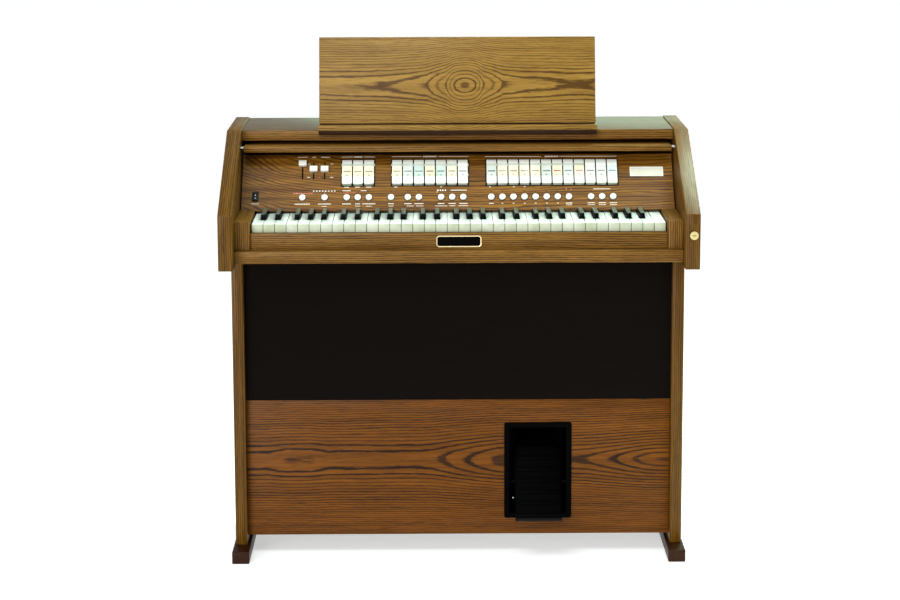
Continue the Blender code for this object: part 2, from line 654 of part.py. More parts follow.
def make_control_panel(plane, oak):
    """The sloping panel with windows, slots and holes for everything that works on it."""
    panel = box("panel", (-INSIDE_HALF, INSIDE_HALF), (0.0, PANEL_LENGTH), (-PANEL_T, 0.0))
    through = (-PANEL_T - CUT, CUT)
    cuts = [box("tab_window", *tab_window(*group), through) for group in TAB_GROUPS.values()]
    for first, count, pitch in PISTON_GROUPS.values():
        for i in range(count):
            cuts.append(rod("piston_hole", "Z", (first + i * pitch, PISTON_S), PISTON_R + PISTON_FIT, *through))
    for x, _ in SLIDERS.values():
        cuts.append(box("slot", about(x, SLOT[0]), SLOT[1:], through))
    cuts.append(box("rocker_cut", about(ROCKER_X, ROCKER_SIZE[0] + 2 * ROCKER_GAPS[0]),
                    about(ROCKER_S, ROCKER_SIZE[1] + 2 * ROCKER_GAPS[1]), through))
    finish(panel, "control_panel", oak, cut=cuts, parent=plane)


def make_tabs(plane, look):
    """Rows of rocker tabs, each row a comb on its hidden carrier."""
    low, high = TAB_STEM
    profile = [(TAB_BOTTOM_S, -TAB_SKIN), (TAB_BOTTOM_S, TAB_LIP_RISE), (TAB_BEND_S, TAB_RISE),
               (TAB_TOP_S, TAB_TOP_RISE), (TAB_TOP_S, -2 * TAB_SKIN), (high, -3 * TAB_SKIN),
               (high - TAB_STEM_TAPER, -TAB_STEM_DEPTH), (low + TAB_STEM_TAPER, -TAB_STEM_DEPTH),
               (low, -3 * TAB_SKIN)]
    for name, (centre, count) in TAB_GROUPS.items():
        left, right = about(centre, count * CONTROL_PITCH - TAB_GAP)
        shapes = [prism("tab", profile, left + i * CONTROL_PITCH, left + (i + 1) * CONTROL_PITCH - TAB_GAP)
                  for i in range(count)]
        carrier = box("carrier", (left - OVERLAP, right + OVERLAP), CARRIER[:2], CARRIER[2:])
        finish(carrier, name, look, joined=shapes, parent=plane, pivot=(centre, *TAB_PIVOT))


def make_pistons(plane, look):
    """Groups of round push buttons, each group on its hidden carrier."""
    side, height, low, high = PISTON_CARRIER
    for name, (first, count, pitch) in PISTON_GROUPS.items():
        last = first + (count - 1) * pitch
        shapes = [rod("piston", "Z", (first + i * pitch, PISTON_S), PISTON_R, -PISTON_DEPTH, PISTON_RISE)
                  for i in range(count)]
        carrier = box("carrier", (first - side, last + side), about(PISTON_S, 2 * height), (low, high))
        finish(carrier, name, look, joined=shapes, parent=plane, pivot=((first + last) / 2, PISTON_S, 0.0))


def make_sliders(plane, look):
    """Three slider caps on stems that run in the panel's slots."""
    width, height, thick = SLIDER_CAP
    face = SLIDER_LIFT + thick
    for name, (x, s) in SLIDERS.items():
        cap = box("cap", about(x, width), about(s, height), (SLIDER_LIFT, face))
        stem = box("stem", about(x, SLIDER_STEM[0]), about(s, SLIDER_STEM[1]), (-SLIDER_STEM[2], face / 2))
        groove = box("groove", about(x, 2 * width), about(s, FINGER_GROOVE[0]),
                     (face - FINGER_GROOVE[1], face + CUT))
        finish(cap, name, look, joined=[stem], cut=[groove], parent=plane, pivot=(x, s, 0.0))


def make_rocker(plane, look):
    """The power rocker, a wedge pair that tips about its middle."""
    low, high = about(ROCKER_S, ROCKER_SIZE[1])
    profile = [(low, -ROCKER_DEPTH), (high, -ROCKER_DEPTH), (high, ROCKER_RISE[2]), (ROCKER_S, ROCKER_RISE[1]),
               (low, ROCKER_RISE[0])]
    paddle = prism("rocker", profile, *about(ROCKER_X, ROCKER_SIZE[0]))
    finish(paddle, "power_rocker", look, parent=plane, pivot=(ROCKER_X, ROCKER_S, -ROCKER_PIVOT_DEPTH))


def make_label(plane, look):
    """The blank plate on the right of the panel."""
    x, s, width, height = LABEL
    plate = box("label", about(x, width), about(s, height), (GAP, GAP + LABEL_T))
    finish(plate, "panel_plate", look, parent=plane)


def make_lid(oak, metal):
    """The sliding lid with its front and rear rails and guide pins, and its rear rod."""
    front = LID_FRONT_Y
    rear = ROD_Y + LID_REAR_RAIL / 2
    under = LID_TOP_Z - LID_RAIL[1]
    plate = LID_TOP_Z - LID_T
    profile = [(front, under), (front + LID_RAIL[0], under), (front + LID_RAIL[0], plate),
               (rear - LID_REAR_RAIL, plate), (rear - LID_REAR_RAIL, under), (rear, under), (rear, LID_TOP_Z),
               (front, LID_TOP_Z)]
    lid = prism("lid", profile, -LID_HALF_WIDTH, LID_HALF_WIDTH)
    tip = INNER_X + PIN_REACH
    pins = [rod("pin", "X", (front + LID_PIN_BACK, ROD_Z), LID_PIN_R,
                *outwards(side, LID_HALF_WIDTH - PIN_ROOT, tip), 12) for side in (-1, 1)]
    bore = rod("rod_bore", "X", (ROD_Y, ROD_Z), LID_ROD_R + GAP, -INNER_X, INNER_X, 12)
    pivot = (0.0, ROD_Y, ROD_Z)
    finish(lid, "lid", oak, joined=pins, cut=[bore], pivot=pivot)
    bar = rod("bar", "X", (ROD_Y, ROD_Z), LID_ROD_R, -tip, tip, 12)
    smooth(finish(bar, "lid_rod", metal, pivot=pivot))


def make_music_desk(oak, board_look):
    """The music desk: a board on a ledge, leaning on a batten behind it."""
    ledge = box("ledge", (-LEDGE_HALF_WIDTH, LEDGE_HALF_WIDTH), (LEDGE_FRONT_Y, LEDGE_FRONT_Y + LEDGE_DEPTH),
                (TOP_Z + GAP, TOP_Z + GAP + LEDGE_T))
    finish(ledge, "music_desk_ledge", oak)
    up = Vector((sin(DESK_LEAN), cos(DESK_LEAN)))
    back = Vector((cos(DESK_LEAN), -sin(DESK_LEAN)))
    front_foot = Vector((DESK_FOOT_Y, TOP_Z + LEDGE_T + 2 * GAP + DESK_T * sin(DESK_LEAN)))
    back_foot = front_foot + back * DESK_T
    outline = [front_foot, front_foot + up * DESK_LENGTH, back_foot + up * DESK_LENGTH, back_foot]
    board = prism("desk", [tuple(point) for point in outline], -DESK_HALF_WIDTH, DESK_HALF_WIDTH)
    finish(board, "music_desk_board", oak)
    seat = Vector((LEDGE_FRONT_Y + LEDGE_DEPTH + GAP, TOP_Z + GAP))
    rest = back_foot + back * GAP
    low = rest + up * max((seat.x - rest.x) / up.x, 0.0)
    high = low + up * BATTEN_HEIGHT
    outline = [seat, Vector((high.x + BATTEN_DEPTH, seat.y)), high + Vector((BATTEN_TOP, 0.0)), high, low]
    batten = prism("batten", [tuple(point) for point in outline], -BATTEN_HALF_WIDTH, BATTEN_HALF_WIDTH)
    finish(batten, "music_desk_batten", board_look)


def tread_point(along, above):
    """Place a point of the pedal tread, given from the heel and above the tread's face."""
    up = Vector((cos(TREAD_ANGLE), sin(TREAD_ANGLE)))
    out = Vector((-sin(TREAD_ANGLE), cos(TREAD_ANGLE)))
    return tuple(Vector(TREAD_HEEL) + up * along + out * above)


def make_pedal(plastic, rubber, steel):
    """The swell pedal: a flanged well, a rocking tread and the axle through both."""
    front = KNEE_Y - GAP - FLANGE_SIZE[2]
    axle = tread_point(AXLE_ALONG, -AXLE_BELOW)
    flange = box("well", about(PEDAL_X, FLANGE_SIZE[0]), (front, KNEE_Y - GAP),
                 (FLANGE_BOTTOM_Z, FLANGE_BOTTOM_Z + FLANGE_SIZE[1]))
    shell = box("shell", about(PEDAL_X, WELL_WIDTH + 2 * WELL_WALL), (front + FLANGE_SIZE[2] / 3, WELL_BACK_Y),
                (WELL_BOTTOM_Z - WELL_WALL, WELL_BOTTOM_Z + WELL_HEIGHT + WELL_WALL))
    inside = box("inside", about(PEDAL_X, WELL_WIDTH), (front - CUT, WELL_BACK_Y - WELL_WALL),
                 (WELL_BOTTOM_Z, WELL_BOTTOM_Z + WELL_HEIGHT))
    outer_width = WELL_WIDTH + 2 * WELL_WALL
    bores = rod("axle_bores", "X", axle, AXLE_R + GAP, *about(PEDAL_X, outer_width + 2 * CUT))
    finish(flange, "pedal_well", plastic, joined=[shell], cut=[inside, bores])
    bar = rod("bar", "X", axle, AXLE_R, *about(PEDAL_X, outer_width + 2 * AXLE_END))
    smooth(finish(bar, "pedal_axle", steel))
    make_tread(axle, rubber)


def tread_slab(name, along, above, width):
    """Make a block on the tread from its low and high place along and above the tread's face."""
    corners = [(along[0], above[0]), (along[1], above[0]), (along[1], above[1]), (along[0], above[1])]
    return prism(name, [tread_point(*corner) for corner in corners], *about(PEDAL_X, width))


def make_tread(axle, rubber):
    """The tread: a ribbed plate with a raised lip at the heel and two lugs on the axle."""
    plate = tread_slab("tread", (0.0, TREAD_LENGTH), (-TREAD_T, 0.0), TREAD_WIDTH)
    shapes = [tread_slab("lip", (-TREAD_LIP[0] / 2, TREAD_LIP[0] / 2), (-TREAD_T - OVERLAP, TREAD_LIP[1]),
                         TREAD_WIDTH + 2 * OVERLAP)]
    for i in range(TREAD_RIBS):
        start = TREAD_RIB_START + i * TREAD_RIB_PITCH
        shapes.append(tread_slab("rib", (start, start + TREAD_RIB[0]), (-TREAD_RIB[1], TREAD_RIB[1]),
                                 TREAD_WIDTH - 2 * TREAD_RIB_INSET))
    wide, narrow = LUG_HALF_WIDTHS
    tip = -AXLE_BELOW - LUG_TIP
    lug = [tread_point(AXLE_ALONG - wide, -TREAD_T / 2), tread_point(AXLE_ALONG + wide, -TREAD_T / 2),
           tread_point(AXLE_ALONG + narrow, tip), tread_point(AXLE_ALONG - narrow, tip)]
    outer = TREAD_WIDTH / 2 - LUG_INSET
    for side in (-1, 1):
        near, far = outwards(side, outer - LUG_T, outer)
        shapes.append(prism("lug", lug, PEDAL_X + near, PEDAL_X + far))
    bore = rod("bore", "X", axle, AXLE_R + GAP, *about(PEDAL_X, TREAD_WIDTH + 2 * CUT))
    finish(plate, "pedal_tread", rubber, joined=shapes, cut=[bore], pivot=(PEDAL_X, *axle))


def make_lock(brass):
    """The key lock in the nose of the right cheek."""
    face = FRONT_Y - GAP
    front = face - LOCK_FACE_T
    inner_end = face + LOCK_BARREL_LENGTH
    profile = [(0.0, front), (LOCK_FACE_R - LOCK_FACE_EDGE[0], front), (LOCK_FACE_R, front + LOCK_FACE_EDGE[1]),
               (LOCK_FACE_R, face), (LOCK_BARREL_R, face), (LOCK_BARREL_R, inner_end), (0.0, inner_end)]
    barrel = turned("lock", profile, (LOCK_X, LOCK_Z))
    slot = box("key_slot", about(LOCK_X, KEY_SLOT[0]), (front - CUT, face + KEY_SLOT[2]),
               about(LOCK_Z, KEY_SLOT[1]))
    finish(barrel, "lock_barrel", brass, cut=[slot], pivot=(LOCK_X, face, LOCK_Z))


def make_tone_board(green):
    """The circuit board with its chips, on four posts."""
    low = BED_TOP_Z + GAP
    x0, x1, y0, y1 = BOARD
    face = low + BOARD_LIFT + BOARD_T
    board = box("board", (x0, x1), (y0, y1), (low + BOARD_LIFT, face))
    shapes = [rod("post", "Z", (x, y), POST_R, low, face - BOARD_T / 2, 10)
              for x in (x0 + POST_INSET, x1 - POST_INSET) for y in (y0 + POST_INSET, y1 - POST_INSET)]
    for i in range(CHIP_GRID[0]):
        for j in range(CHIP_GRID[1]):
            x = x0 + CHIP_START[0] + i * CHIP_PITCH[0]
            y = y0 + CHIP_START[1] + j * CHIP_PITCH[1]
            shapes.append(box("chip", (x, x + CHIP[0]), (y, y + CHIP[1]), (face - BOARD_T / 2, face + CHIP[2])))
    finish(board, "tone_board", green, joined=shapes)


def make_amplifier(metal):
    """The power amplifier: a low chassis under a row of cooling fins."""
    low = BED_TOP_Z + GAP
    x0, x1, y0, y1 = AMPLIFIER
    chassis = box("chassis", (x0, x1), (y0, y1), (low, low + CHASSIS_HEIGHT))
    fins = []
    for i in range(FINS):
        x = x0 + FIN_INSET[0] + i * FIN_PITCH
        fins.append(box("fin", (x, x + FIN[0]), (y0 + FIN_INSET[1], y1 - FIN_INSET[1]),
                        (low + CHASSIS_HEIGHT / 2, low + FIN[1])))
    finish(chassis, "power_amplifier", metal, joined=fins)


def make_transformer(iron):
    """The mains transformer: a core and its coil on a foot."""
    low = BED_TOP_Z + GAP
    x0, x1, y0, y1 = TRANSFORMER
    foot = box("foot", (x0, x1), (y0, y1), (low, low + TRANSFORMER_FOOT_T))
    core = box("core", (x0 + CORE_INSET[0], x1 - CORE_INSET[0]), (y0 + CORE_INSET[1], y1 - CORE_INSET[1]),
               (low + TRANSFORMER_FOOT_T / 2, low + CORE_HEIGHT))
    coil = box("coil", (x0 + COIL_INSET, x1 - COIL_INSET), (y0 - COIL_OVERHANG, y1 + COIL_OVERHANG),
               (low + COIL_HEIGHTS[0], low + COIL_HEIGHTS[1]))
    finish(foot, "mains_transformer", iron, joined=[core, coil])


def build():
    """Build the whole organ in an emptied scene."""
    for old in list(bpy.data.objects):
        bpy.data.objects.remove(old, do_unlink=True)
    oak = material("oak", (0.235, 0.120, 0.048), 0.45)
    dark_oak = material("dark_oak", (0.075, 0.036, 0.018), 0.50)
    board = material("particle_board", (0.180, 0.120, 0.070), 0.85)
    cloth = material("grille_cloth", (0.012, 0.008, 0.007), 0.95)
    white = material("white_plastic", (0.820, 0.810, 0.740), 0.25)
    black = material("black_plastic", (0.012, 0.012, 0.013), 0.25)
    rubber = material("rubber", (0.010, 0.010, 0.010), 0.60)
    steel = material("steel", (0.550, 0.550, 0.540), 0.35, 1.0)
    brass = material("brass", (0.780, 0.620, 0.300), 0.30, 1.0)
    cream = material("cream_plate", (0.850, 0.800, 0.640), 0.40)
    green = material("circuit_board", (0.050, 0.180, 0.070), 0.50)
    iron = material("transformer_iron", (0.120, 0.110, 0.100), 0.60, 0.6)
    make_case(oak, dark_oak, board, cloth)
    make_inlet(black)
    make_speakers(iron)
    make_key_bed(oak, board, steel, black)
    make_keys(white, black)
    plane = panel_empty()
    make_control_panel(plane, oak)
    make_tabs(plane, white)
    make_pistons(plane, white)
    make_sliders(plane, white)
    make_rocker(plane, black)
    make_label(plane, cream)
    make_lid(oak, steel)
    make_music_desk(oak, dark_oak)
    make_pedal(black, rubber, steel)
    make_lock(brass)
    make_tone_board(green)
    make_amplifier(steel)
    make_transformer(iron)


build()
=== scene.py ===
"""Electronic spinet organ in stained oak veneer, on a plain pale floor.

Metres, +Z up. The player sits towards -Y, and X runs to the player's right.
"""

import json
from math import cos, hypot, pi, radians, sin

import bmesh
import bpy
from mathutils import Matrix, Vector


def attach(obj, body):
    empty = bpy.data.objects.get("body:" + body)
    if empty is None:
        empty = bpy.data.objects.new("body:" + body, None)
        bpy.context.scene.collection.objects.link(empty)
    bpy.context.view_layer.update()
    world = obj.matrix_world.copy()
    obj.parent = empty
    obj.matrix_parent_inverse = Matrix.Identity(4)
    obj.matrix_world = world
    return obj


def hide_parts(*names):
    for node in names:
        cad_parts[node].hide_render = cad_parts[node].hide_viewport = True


# Places on the case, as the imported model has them
CHEEK_ENDS = (-0.2465, 0.2465)
CHEEK_HEIGHTS = (0.6750, 0.9295)
CHEEK_SLOPE = ((-0.2465, 0.7885), (0.0078, 0.9295))
KNEE_Y = 0.0156
BACK_FACE_Y = 0.2395
SLIP_PLATE_Y = -0.1953
KEY_FRONT_Y = -0.1830
KEY_TOP_Z = 0.7611
SHARP_TOP_Z = 0.7731
LID_PIN_X = 0.4511           # beyond this the lid is only its guide pins
LID_LIP_Y = -0.0070          # in front of this is the lid's rounded lip
PANEL_END = 0.4569
CLOTH = (0.9138, 0.3407, 0.3430, 0.0012)    # width, height, foot above the floor, thickness

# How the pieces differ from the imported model
SHARP_PINCH = 0.80           # width of a sharp's top as a share of its foot
PANEL_GAP = 0.0022           # how far the panel stops short of each cheek, beyond the model's own gap
TAB_SHARE = 0.955            # width of a tab as a share of its place in the row
TAB_LEAN = (0.0, -0.0032, 0.0042)    # how far the top of each tab is moved, in the panel's space

# Radii of the rounded edges
CASE_EDGE = 0.0012
BOARD_EDGE = 0.0015
THIN_BOARD_EDGE = 0.0010
STRIP_EDGE = 0.0008
FOOT_EDGE = 0.0025
NATURAL_EDGE = 0.0007
SHARP_EDGE = 0.0011
TAB_CORNER, TAB_EDGE = 0.0023, 0.0008
BUTTON_EDGE = 0.0006
ROCKER_EDGE = 0.0009
LAMP_EDGE = 0.0004
PLATE_CORNER = 0.0012
LOCK_EDGE = 0.0002
FLANGE_CORNER, FLANGE_EDGE = 0.0045, 0.0010
TREAD_EDGE = 0.0009
ROD_EDGE = 0.0002
STOP_SCREW_EDGE, BACK_SCREW_EDGE = 0.0004, 0.0009

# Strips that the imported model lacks, each by its lowest and its highest corner
DESK_FELT = ((-0.2920, 0.0212, 0.9388), (0.2920, 0.0360, 0.9394))
# The ledge's strip is painted shadow: a dark strip where the ledge shades the top's front edge.
LEDGE_DROP = ((-0.2935, 0.0110, 0.9182), (0.2935, 0.0252, 0.9275))
DROP_LEAN = 0.0030           # how far the lower front edge of the drop leans back
HEAD_SHELF = ((-0.4566, 0.0362, 0.8693), (0.4566, 0.0850, 0.8723))

# The control panel's plane: X across, Y up the slope, Z out of the wood
PANEL = Matrix.Translation((0.0, -0.0525, 0.7680)) @ Matrix.Rotation(radians(50.19), 4, "X")

# Stop tabs: their pitch, and their places up the slope
PITCH = 0.0232
TAB_FOOT, LABEL_FOOT, LABEL_TOP, TAB_BEND, TAB_TOP = 0.0606, 0.0780, 0.1035, 0.1090, 0.1234
TAB_LIP = 0.0617
TEXT_S, MARK_S = 0.0906, 0.0814
TEXT_SIZE, MARK_SIZE = (0.0150, 0.0036), (0.0034, 0.0028)    # width and height of a tab's two lines
TEXT_RISE, MARK_RISE = 0.00794, 0.00765      # how high the print lies on the tabs' sloping faces
WINDOW_GAPS = (0.0004, 0.0021, 0.0011)       # room round a row of tabs in its cutout: sides, foot, top
FRAME_WIDTH, FRAME_HALF_T = 0.0009, 0.0003

# Middle of each row, and the colours of its labels from the left: y cream, g pale green, G green,
# r straw, w white, b blue
TAB_ROWS = {"low_tabs": (-0.2107, "yyy"), "middle_tabs": (-0.0588, "ygGyGyw"),
            "high_tabs": (0.1990, "gyyyygrgrwwb")}

# Push buttons: radius, place up the slope, rise over the panel, and depth behind it
PISTON_R, PISTON_S, PISTON_RISE, PISTON_DEPTH = 0.0068, 0.0303, 0.0040, 0.0120
PISTON_RIM, PISTON_CROWN = 0.0030, 0.00012   # width of the rim round the top, and how far the top rises
COLLAR_R, COLLAR_WIDTH, COLLAR_HALF_T = 0.0081, 0.0010, 0.0004
CARRIER_REACH = (0.0085, 0.0070)             # how far a group's carrier reaches beyond the middles
CARRIER_DEPTHS = (-0.0135, -0.0100)
STEP = 0.0233                                # from one button to the next

# First button, count and step of each group
PISTONS = {"pistons_a": (-0.3270, 2, 2 * STEP), "pistons_b": (-0.2339, 3, STEP),
           "pistons_c": (-0.1408, 1, STEP), "pistons_d": (-0.1053, 2, STEP),
           "pistons_e": (-0.0354, 3, STEP), "pistons_f": (0.0702, 8, STEP),
           "pistons_g": (0.2800, 3, STEP)}
LAMP_R, LAMP_HEIGHTS, LAMP_S = 0.0013, (-0.0004, 0.0006), 0.0449
ROCKER_X = -0.4259
INK_HALF_T = 0.00010

# Borders and how deep the fields lie inside them
LABEL_BORDER, LABEL_SINK = 0.0013, 0.00015
BADGE_BORDER, BADGE_SINK = 0.0020, 0.00035

# Swell pedal
PEDAL_X = 0.1718
FLANGE_WIDTH = 0.1452
TREAD_LIP_EDGE = (-0.0510, 0.1035)           # upper edge of the tread's lip: Y and Z
LIP_HIGHLIGHT_REACH = 0.0011                            # how far the painted highlight reaches from that edge
STOP_PLACE = (0.1190, 0.0192)                # the stop rod beside the tread: X and Y
STOP_ROD_R, STOP_ROD_HEIGHTS = 0.0008, (0.0910, 0.1222)
STOP_SCREW_R, STOP_SCREW_T, STOP_SCREW_Z = 0.0017, 0.0014, 0.1226

# Screws round the back board
BACK_SCREW_R, BACK_SCREW_T, RECESS_RIM, RECESS_DEPTH = 0.0040, 0.0020, 0.0018, 0.0009
SCREW_ROWS, SCREW_ROW_PLACES = (0.075, 0.890), (-0.445, -0.2225, 0.0, 0.2225, 0.445)
SCREW_COLUMNS, SCREW_COLUMN_PLACES = (-0.445, 0.445), (0.2375, 0.4, 0.5625, 0.725)

# Ways the grain can run, and when a corner lies on a face and a face looks along an axis
ACROSS, DEEP, UPRIGHT = (1.0, 0.0, 0.0), (0.0, 1.0, 0.0), (0.0, 0.0, 1.0)
ON_FACE = 0.0005
FACING = 0.9


def rgb(code):
    """Turn an sRGB hex colour into a linear one."""
    parts = [int(code[i:i + 2], 16) / 255 for i in (0, 2, 4)]
    return (*(c / 12.92 if c <= 0.04045 else ((c + 0.055) / 1.055) ** 2.4 for c in parts), 1.0)


def feed(tree, node, inputs):
    """Set a node's inputs, each to a value or to the node or socket that feeds it."""
    for name, value in (inputs.items() if isinstance(inputs, dict) else enumerate(inputs)):
        socket = node.inputs[name] if isinstance(name, int) else next(
            s for s in node.inputs if s.name == name and s.enabled)
        if isinstance(value, bpy.types.Node):
            value = next(s for s in value.outputs if s.enabled)
        if isinstance(value, bpy.types.NodeSocket):
            tree.links.new(value, socket)
        else:
            socket.default_value = value


def add(tree, kind, inputs=(), stops=(), **settings):
    """Add a node with its settings, a ramp's or a curve's points, and what feeds its inputs."""
    made = tree.nodes.new("ShaderNode" + kind)
    for name, value in settings.items():
        setattr(made, name, value)
    if kind == "ValToRGB":
        while len(made.color_ramp.elements) < len(stops):
            made.color_ramp.elements.new(0.5)
        for element, (place, code) in zip(made.color_ramp.elements, stops):
            element.position = place
            element.color = rgb(code)
    if kind == "FloatCurve":
        line = made.mapping.curves[0].points
        for place, value in stops[1:-1]:
            line.new(place, value)
        line[0].location, line[-1].location = stops[0], stops[-1]
        for point in line:
            point.handle_type = "VECTOR"
        made.mapping.update()
    feed(tree, made, inputs)
    return made


def finish_of(name, **values):
    """Start a material and return it, its tree and its shader with plain values set."""
    made = bpy.data.materials.new(name)
    made.use_nodes = True
    shader = made.node_tree.nodes["Principled BSDF"]
    for key, value in values.items():
        shader.inputs[key.replace("_", " ")].default_value = value
    return made, made.node_tree, shader


def oak(name, light, dark, heart, depth, ring=0.0044, rate=1.0, wave=0.008, seed=0.0, reach=0.1,
        gloss=0.14):
    """Plain-sawn oak veneer, stained and lacquered: arched rings and open pores under a satin film.

    heart is the height of the log's middle line on the board, and depth lists how deep the
    middle lies behind the face, along the board, so that the rings close where it is deep.
    ring is the width of the first year's ring, and a rate above 1 makes the later ones narrower.
    wave is how far the rings drift up and down, and reach is what a depth of 1 stands for.
    """
    made, tree, shader = finish_of(name, IOR=1.5, Specular_IOR_Level=gloss)
    place = add(tree, "UVMap", uv_map="grain")
    parts = add(tree, "SeparateXYZ", [place])
    along, across = parts.outputs["X"], parts.outputs["Y"]

    # How often each unevenness comes in a metre, along the grain and across it
    fine = {}
    for key, density in {"drift": (2.6, 9.0), "wobble": (8.0, 40.0), "torn": (40.0, 260.0),
                         "pores": (30.0, 430.0), "tone": (4.0, 90.0)}.items():
        shifted = add(tree, "Mapping", {"Vector": place, "Location": (seed, seed * 1.7, seed),
                                        "Scale": (*density, 1.0)})
        fine[key] = add(tree, "TexNoise", {"Vector": shifted, "Scale": 1.0, "Detail": 2.0,
                                           "Roughness": 0.55})

    # How far each point lies from the log's middle, in metres, bent by the log's own unevenness
    span = add(tree, "MapRange", {"Value": along, "From Min": -0.5, "From Max": 0.5})
    curve = add(tree, "FloatCurve", {"Value": span}, stops=depth)
    drift = add(tree, "MapRange", {"Value": fine["drift"], "To Min": -wave, "To Max": wave})
    height = add(tree, "Math", [add(tree, "Math", [across, heart], operation="SUBTRACT"), drift])
    deep = add(tree, "Math", [curve, reach], operation="MULTIPLY")
    radius = add(tree, "VectorMath", [add(tree, "CombineXYZ", [height, deep])], operation="LENGTH")
    wobble = add(tree, "MapRange", {"Value": fine["wobble"], "To Min": -0.0014, "To Max": 0.0014})
    torn = add(tree, "MapRange", {"Value": fine["torn"], "To Min": -0.0011, "To Max": 0.0011})
    uneven = add(tree, "Math", [add(tree, "Math", [radius, wobble]), torn])

    # Each year's ring starts dark and open and turns pale and close
    share = add(tree, "Math", [uneven, ring], operation="DIVIDE")
    rings = add(tree, "Math", [share, rate], operation="POWER")
    phase = add(tree, "Math", [rings], operation="FRACT")
    year = add(tree, "Math", [rings], operation="FLOOR")
    luck = add(tree, "TexWhiteNoise", {"W": add(tree, "Math", [year, seed])}, noise_dimensions="1D")
    strength = add(tree, "MapRange", {"Value": luck, "To Min": 0.48, "To Max": 1.0})
    start = add(tree, "ValToRGB", [phase], stops=[(0.0, "FFFFFF"), (0.20, "FFFFFF"), (0.28, "A0A0A0"),
                                                  (0.38, "202020"), (0.90, "000000"), (1.0, "F0F0F0")])
    early = add(tree, "Math", [start, strength], operation="MULTIPLY")

    # Pores are 0.3 mm wide in oak; drawn 2 mm wide, so that they show at this distance.
    pores = add(tree, "MapRange", {"Value": fine["pores"], "From Min": 0.50, "From Max": 0.60})
    more = add(tree, "MapRange", {"Value": early, "To Min": 0.24, "To Max": 0.50})
    pores = add(tree, "Math", [pores, more], operation="MULTIPLY")
    tone = add(tree, "MapRange", {"Value": fine["tone"], "From Min": 0.3, "From Max": 0.7})
    body = add(tree, "ValToRGB", [tone], stops=[(0.0, light[1]), (1.0, light[0])])
    shade = add(tree, "Math", [early, 0.95], operation="MULTIPLY")
    ringed = add(tree, "Mix", {"Factor": shade, "A": body, "B": rgb(dark)}, data_type="RGBA")
    pored = add(tree, "Mix", {"Factor": pores, "A": ringed, "B": rgb(dark)}, data_type="RGBA")
    rough = add(tree, "MapRange", {"Value": pores, "To Min": 0.36, "To Max": 0.58})
    groove = add(tree, "Math", [add(tree, "Math", [early, 0.25], operation="MULTIPLY"), pores])
    bump = add(tree, "Bump", {"Height": groove, "Strength": 0.35, "Distance": 0.00025}, invert=True)
    feed(tree, shader, {"Base Color": pored, "Roughness": rough, "Normal": bump})
    return made


def moulded(name, code, roughness, speck="FFFFFF", **values):
    """Injection-moulded plastic: even colour, faintly cloudy, with a fine moulded skin."""
    made, tree, shader = finish_of(name, IOR=1.49, **values)
    place = add(tree, "TexCoord").outputs["Object"]
    skin = add(tree, "TexNoise", {"Vector": place, "Scale": 2500.0, "Detail": 2.0})
    cloud = add(tree, "TexNoise", {"Vector": place, "Scale": 30.0, "Detail": 3.0})
    amount = add(tree, "MapRange", {"Value": cloud, "From Min": 0.35, "From Max": 0.75, "To Max": 0.35})
    tint = add(tree, "Mix", {"Factor": amount, "A": rgb(code), "B": rgb(speck)}, data_type="RGBA")
    rough = add(tree, "MapRange", {"Value": cloud, "To Min": roughness - 0.05, "To Max": roughness + 0.08})
    bump = add(tree, "Bump", {"Height": skin, "Strength": 0.25, "Distance": 0.00002})
    feed(tree, shader, {"Base Color": tint, "Roughness": rough, "Normal": bump})
    return made


def metal(name, bright, dull, roughness, lines=(400.0, 8.0, 8.0)):
    """Bare metal: its own colour, with fine lines left by drawing or turning."""
    made, tree, shader = finish_of(name, Metallic=1.0)
    place = add(tree, "TexCoord").outputs["Object"]
    stretched = add(tree, "Mapping", {"Vector": place, "Scale": lines})
    drawn = add(tree, "TexNoise", {"Vector": stretched, "Scale": 6.0, "Detail": 3.0})
    colour = add(tree, "ValToRGB", [drawn], stops=[(0.25, dull), (0.75, bright)])
    rough = add(tree, "MapRange", {"Value": drawn, "To Min": roughness - 0.06, "To Max": roughness + 0.10})
    bump = add(tree, "Bump", {"Height": drawn, "Strength": 0.2, "Distance": 0.00005})
    feed(tree, shader, {"Base Color": colour, "Roughness": rough, "Normal": bump})
    return made


def chipboard(name, light, dark):
    """Pressed wood chips, unfinished: pale and dark flakes a few millimetres long, and a dull face."""
    made, tree, shader = finish_of(name, Roughness=0.85, IOR=1.45)
    place = add(tree, "TexCoord").outputs["Object"]
    flakes = add(tree, "TexVoronoi", {"Vector": place, "Scale": 260.0})
    shade = add(tree, "SeparateColor", [flakes.outputs["Color"]])
    dust = add(tree, "TexNoise", {"Vector": place, "Scale": 40.0, "Detail": 4.0})
    mixed = add(tree, "Math", [add(tree, "Math", [shade, 0.6], operation="MULTIPLY"),
                               add(tree, "Math", [dust, 0.5], operation="MULTIPLY")])
    colour = add(tree, "ValToRGB", [mixed], stops=[(0.15, dark), (0.85, light)])
    bump = add(tree, "Bump", {"Height": shade, "Strength": 0.3, "Distance": 0.0002})
    feed(tree, shader, {"Base Color": colour, "Normal": bump})
    return made


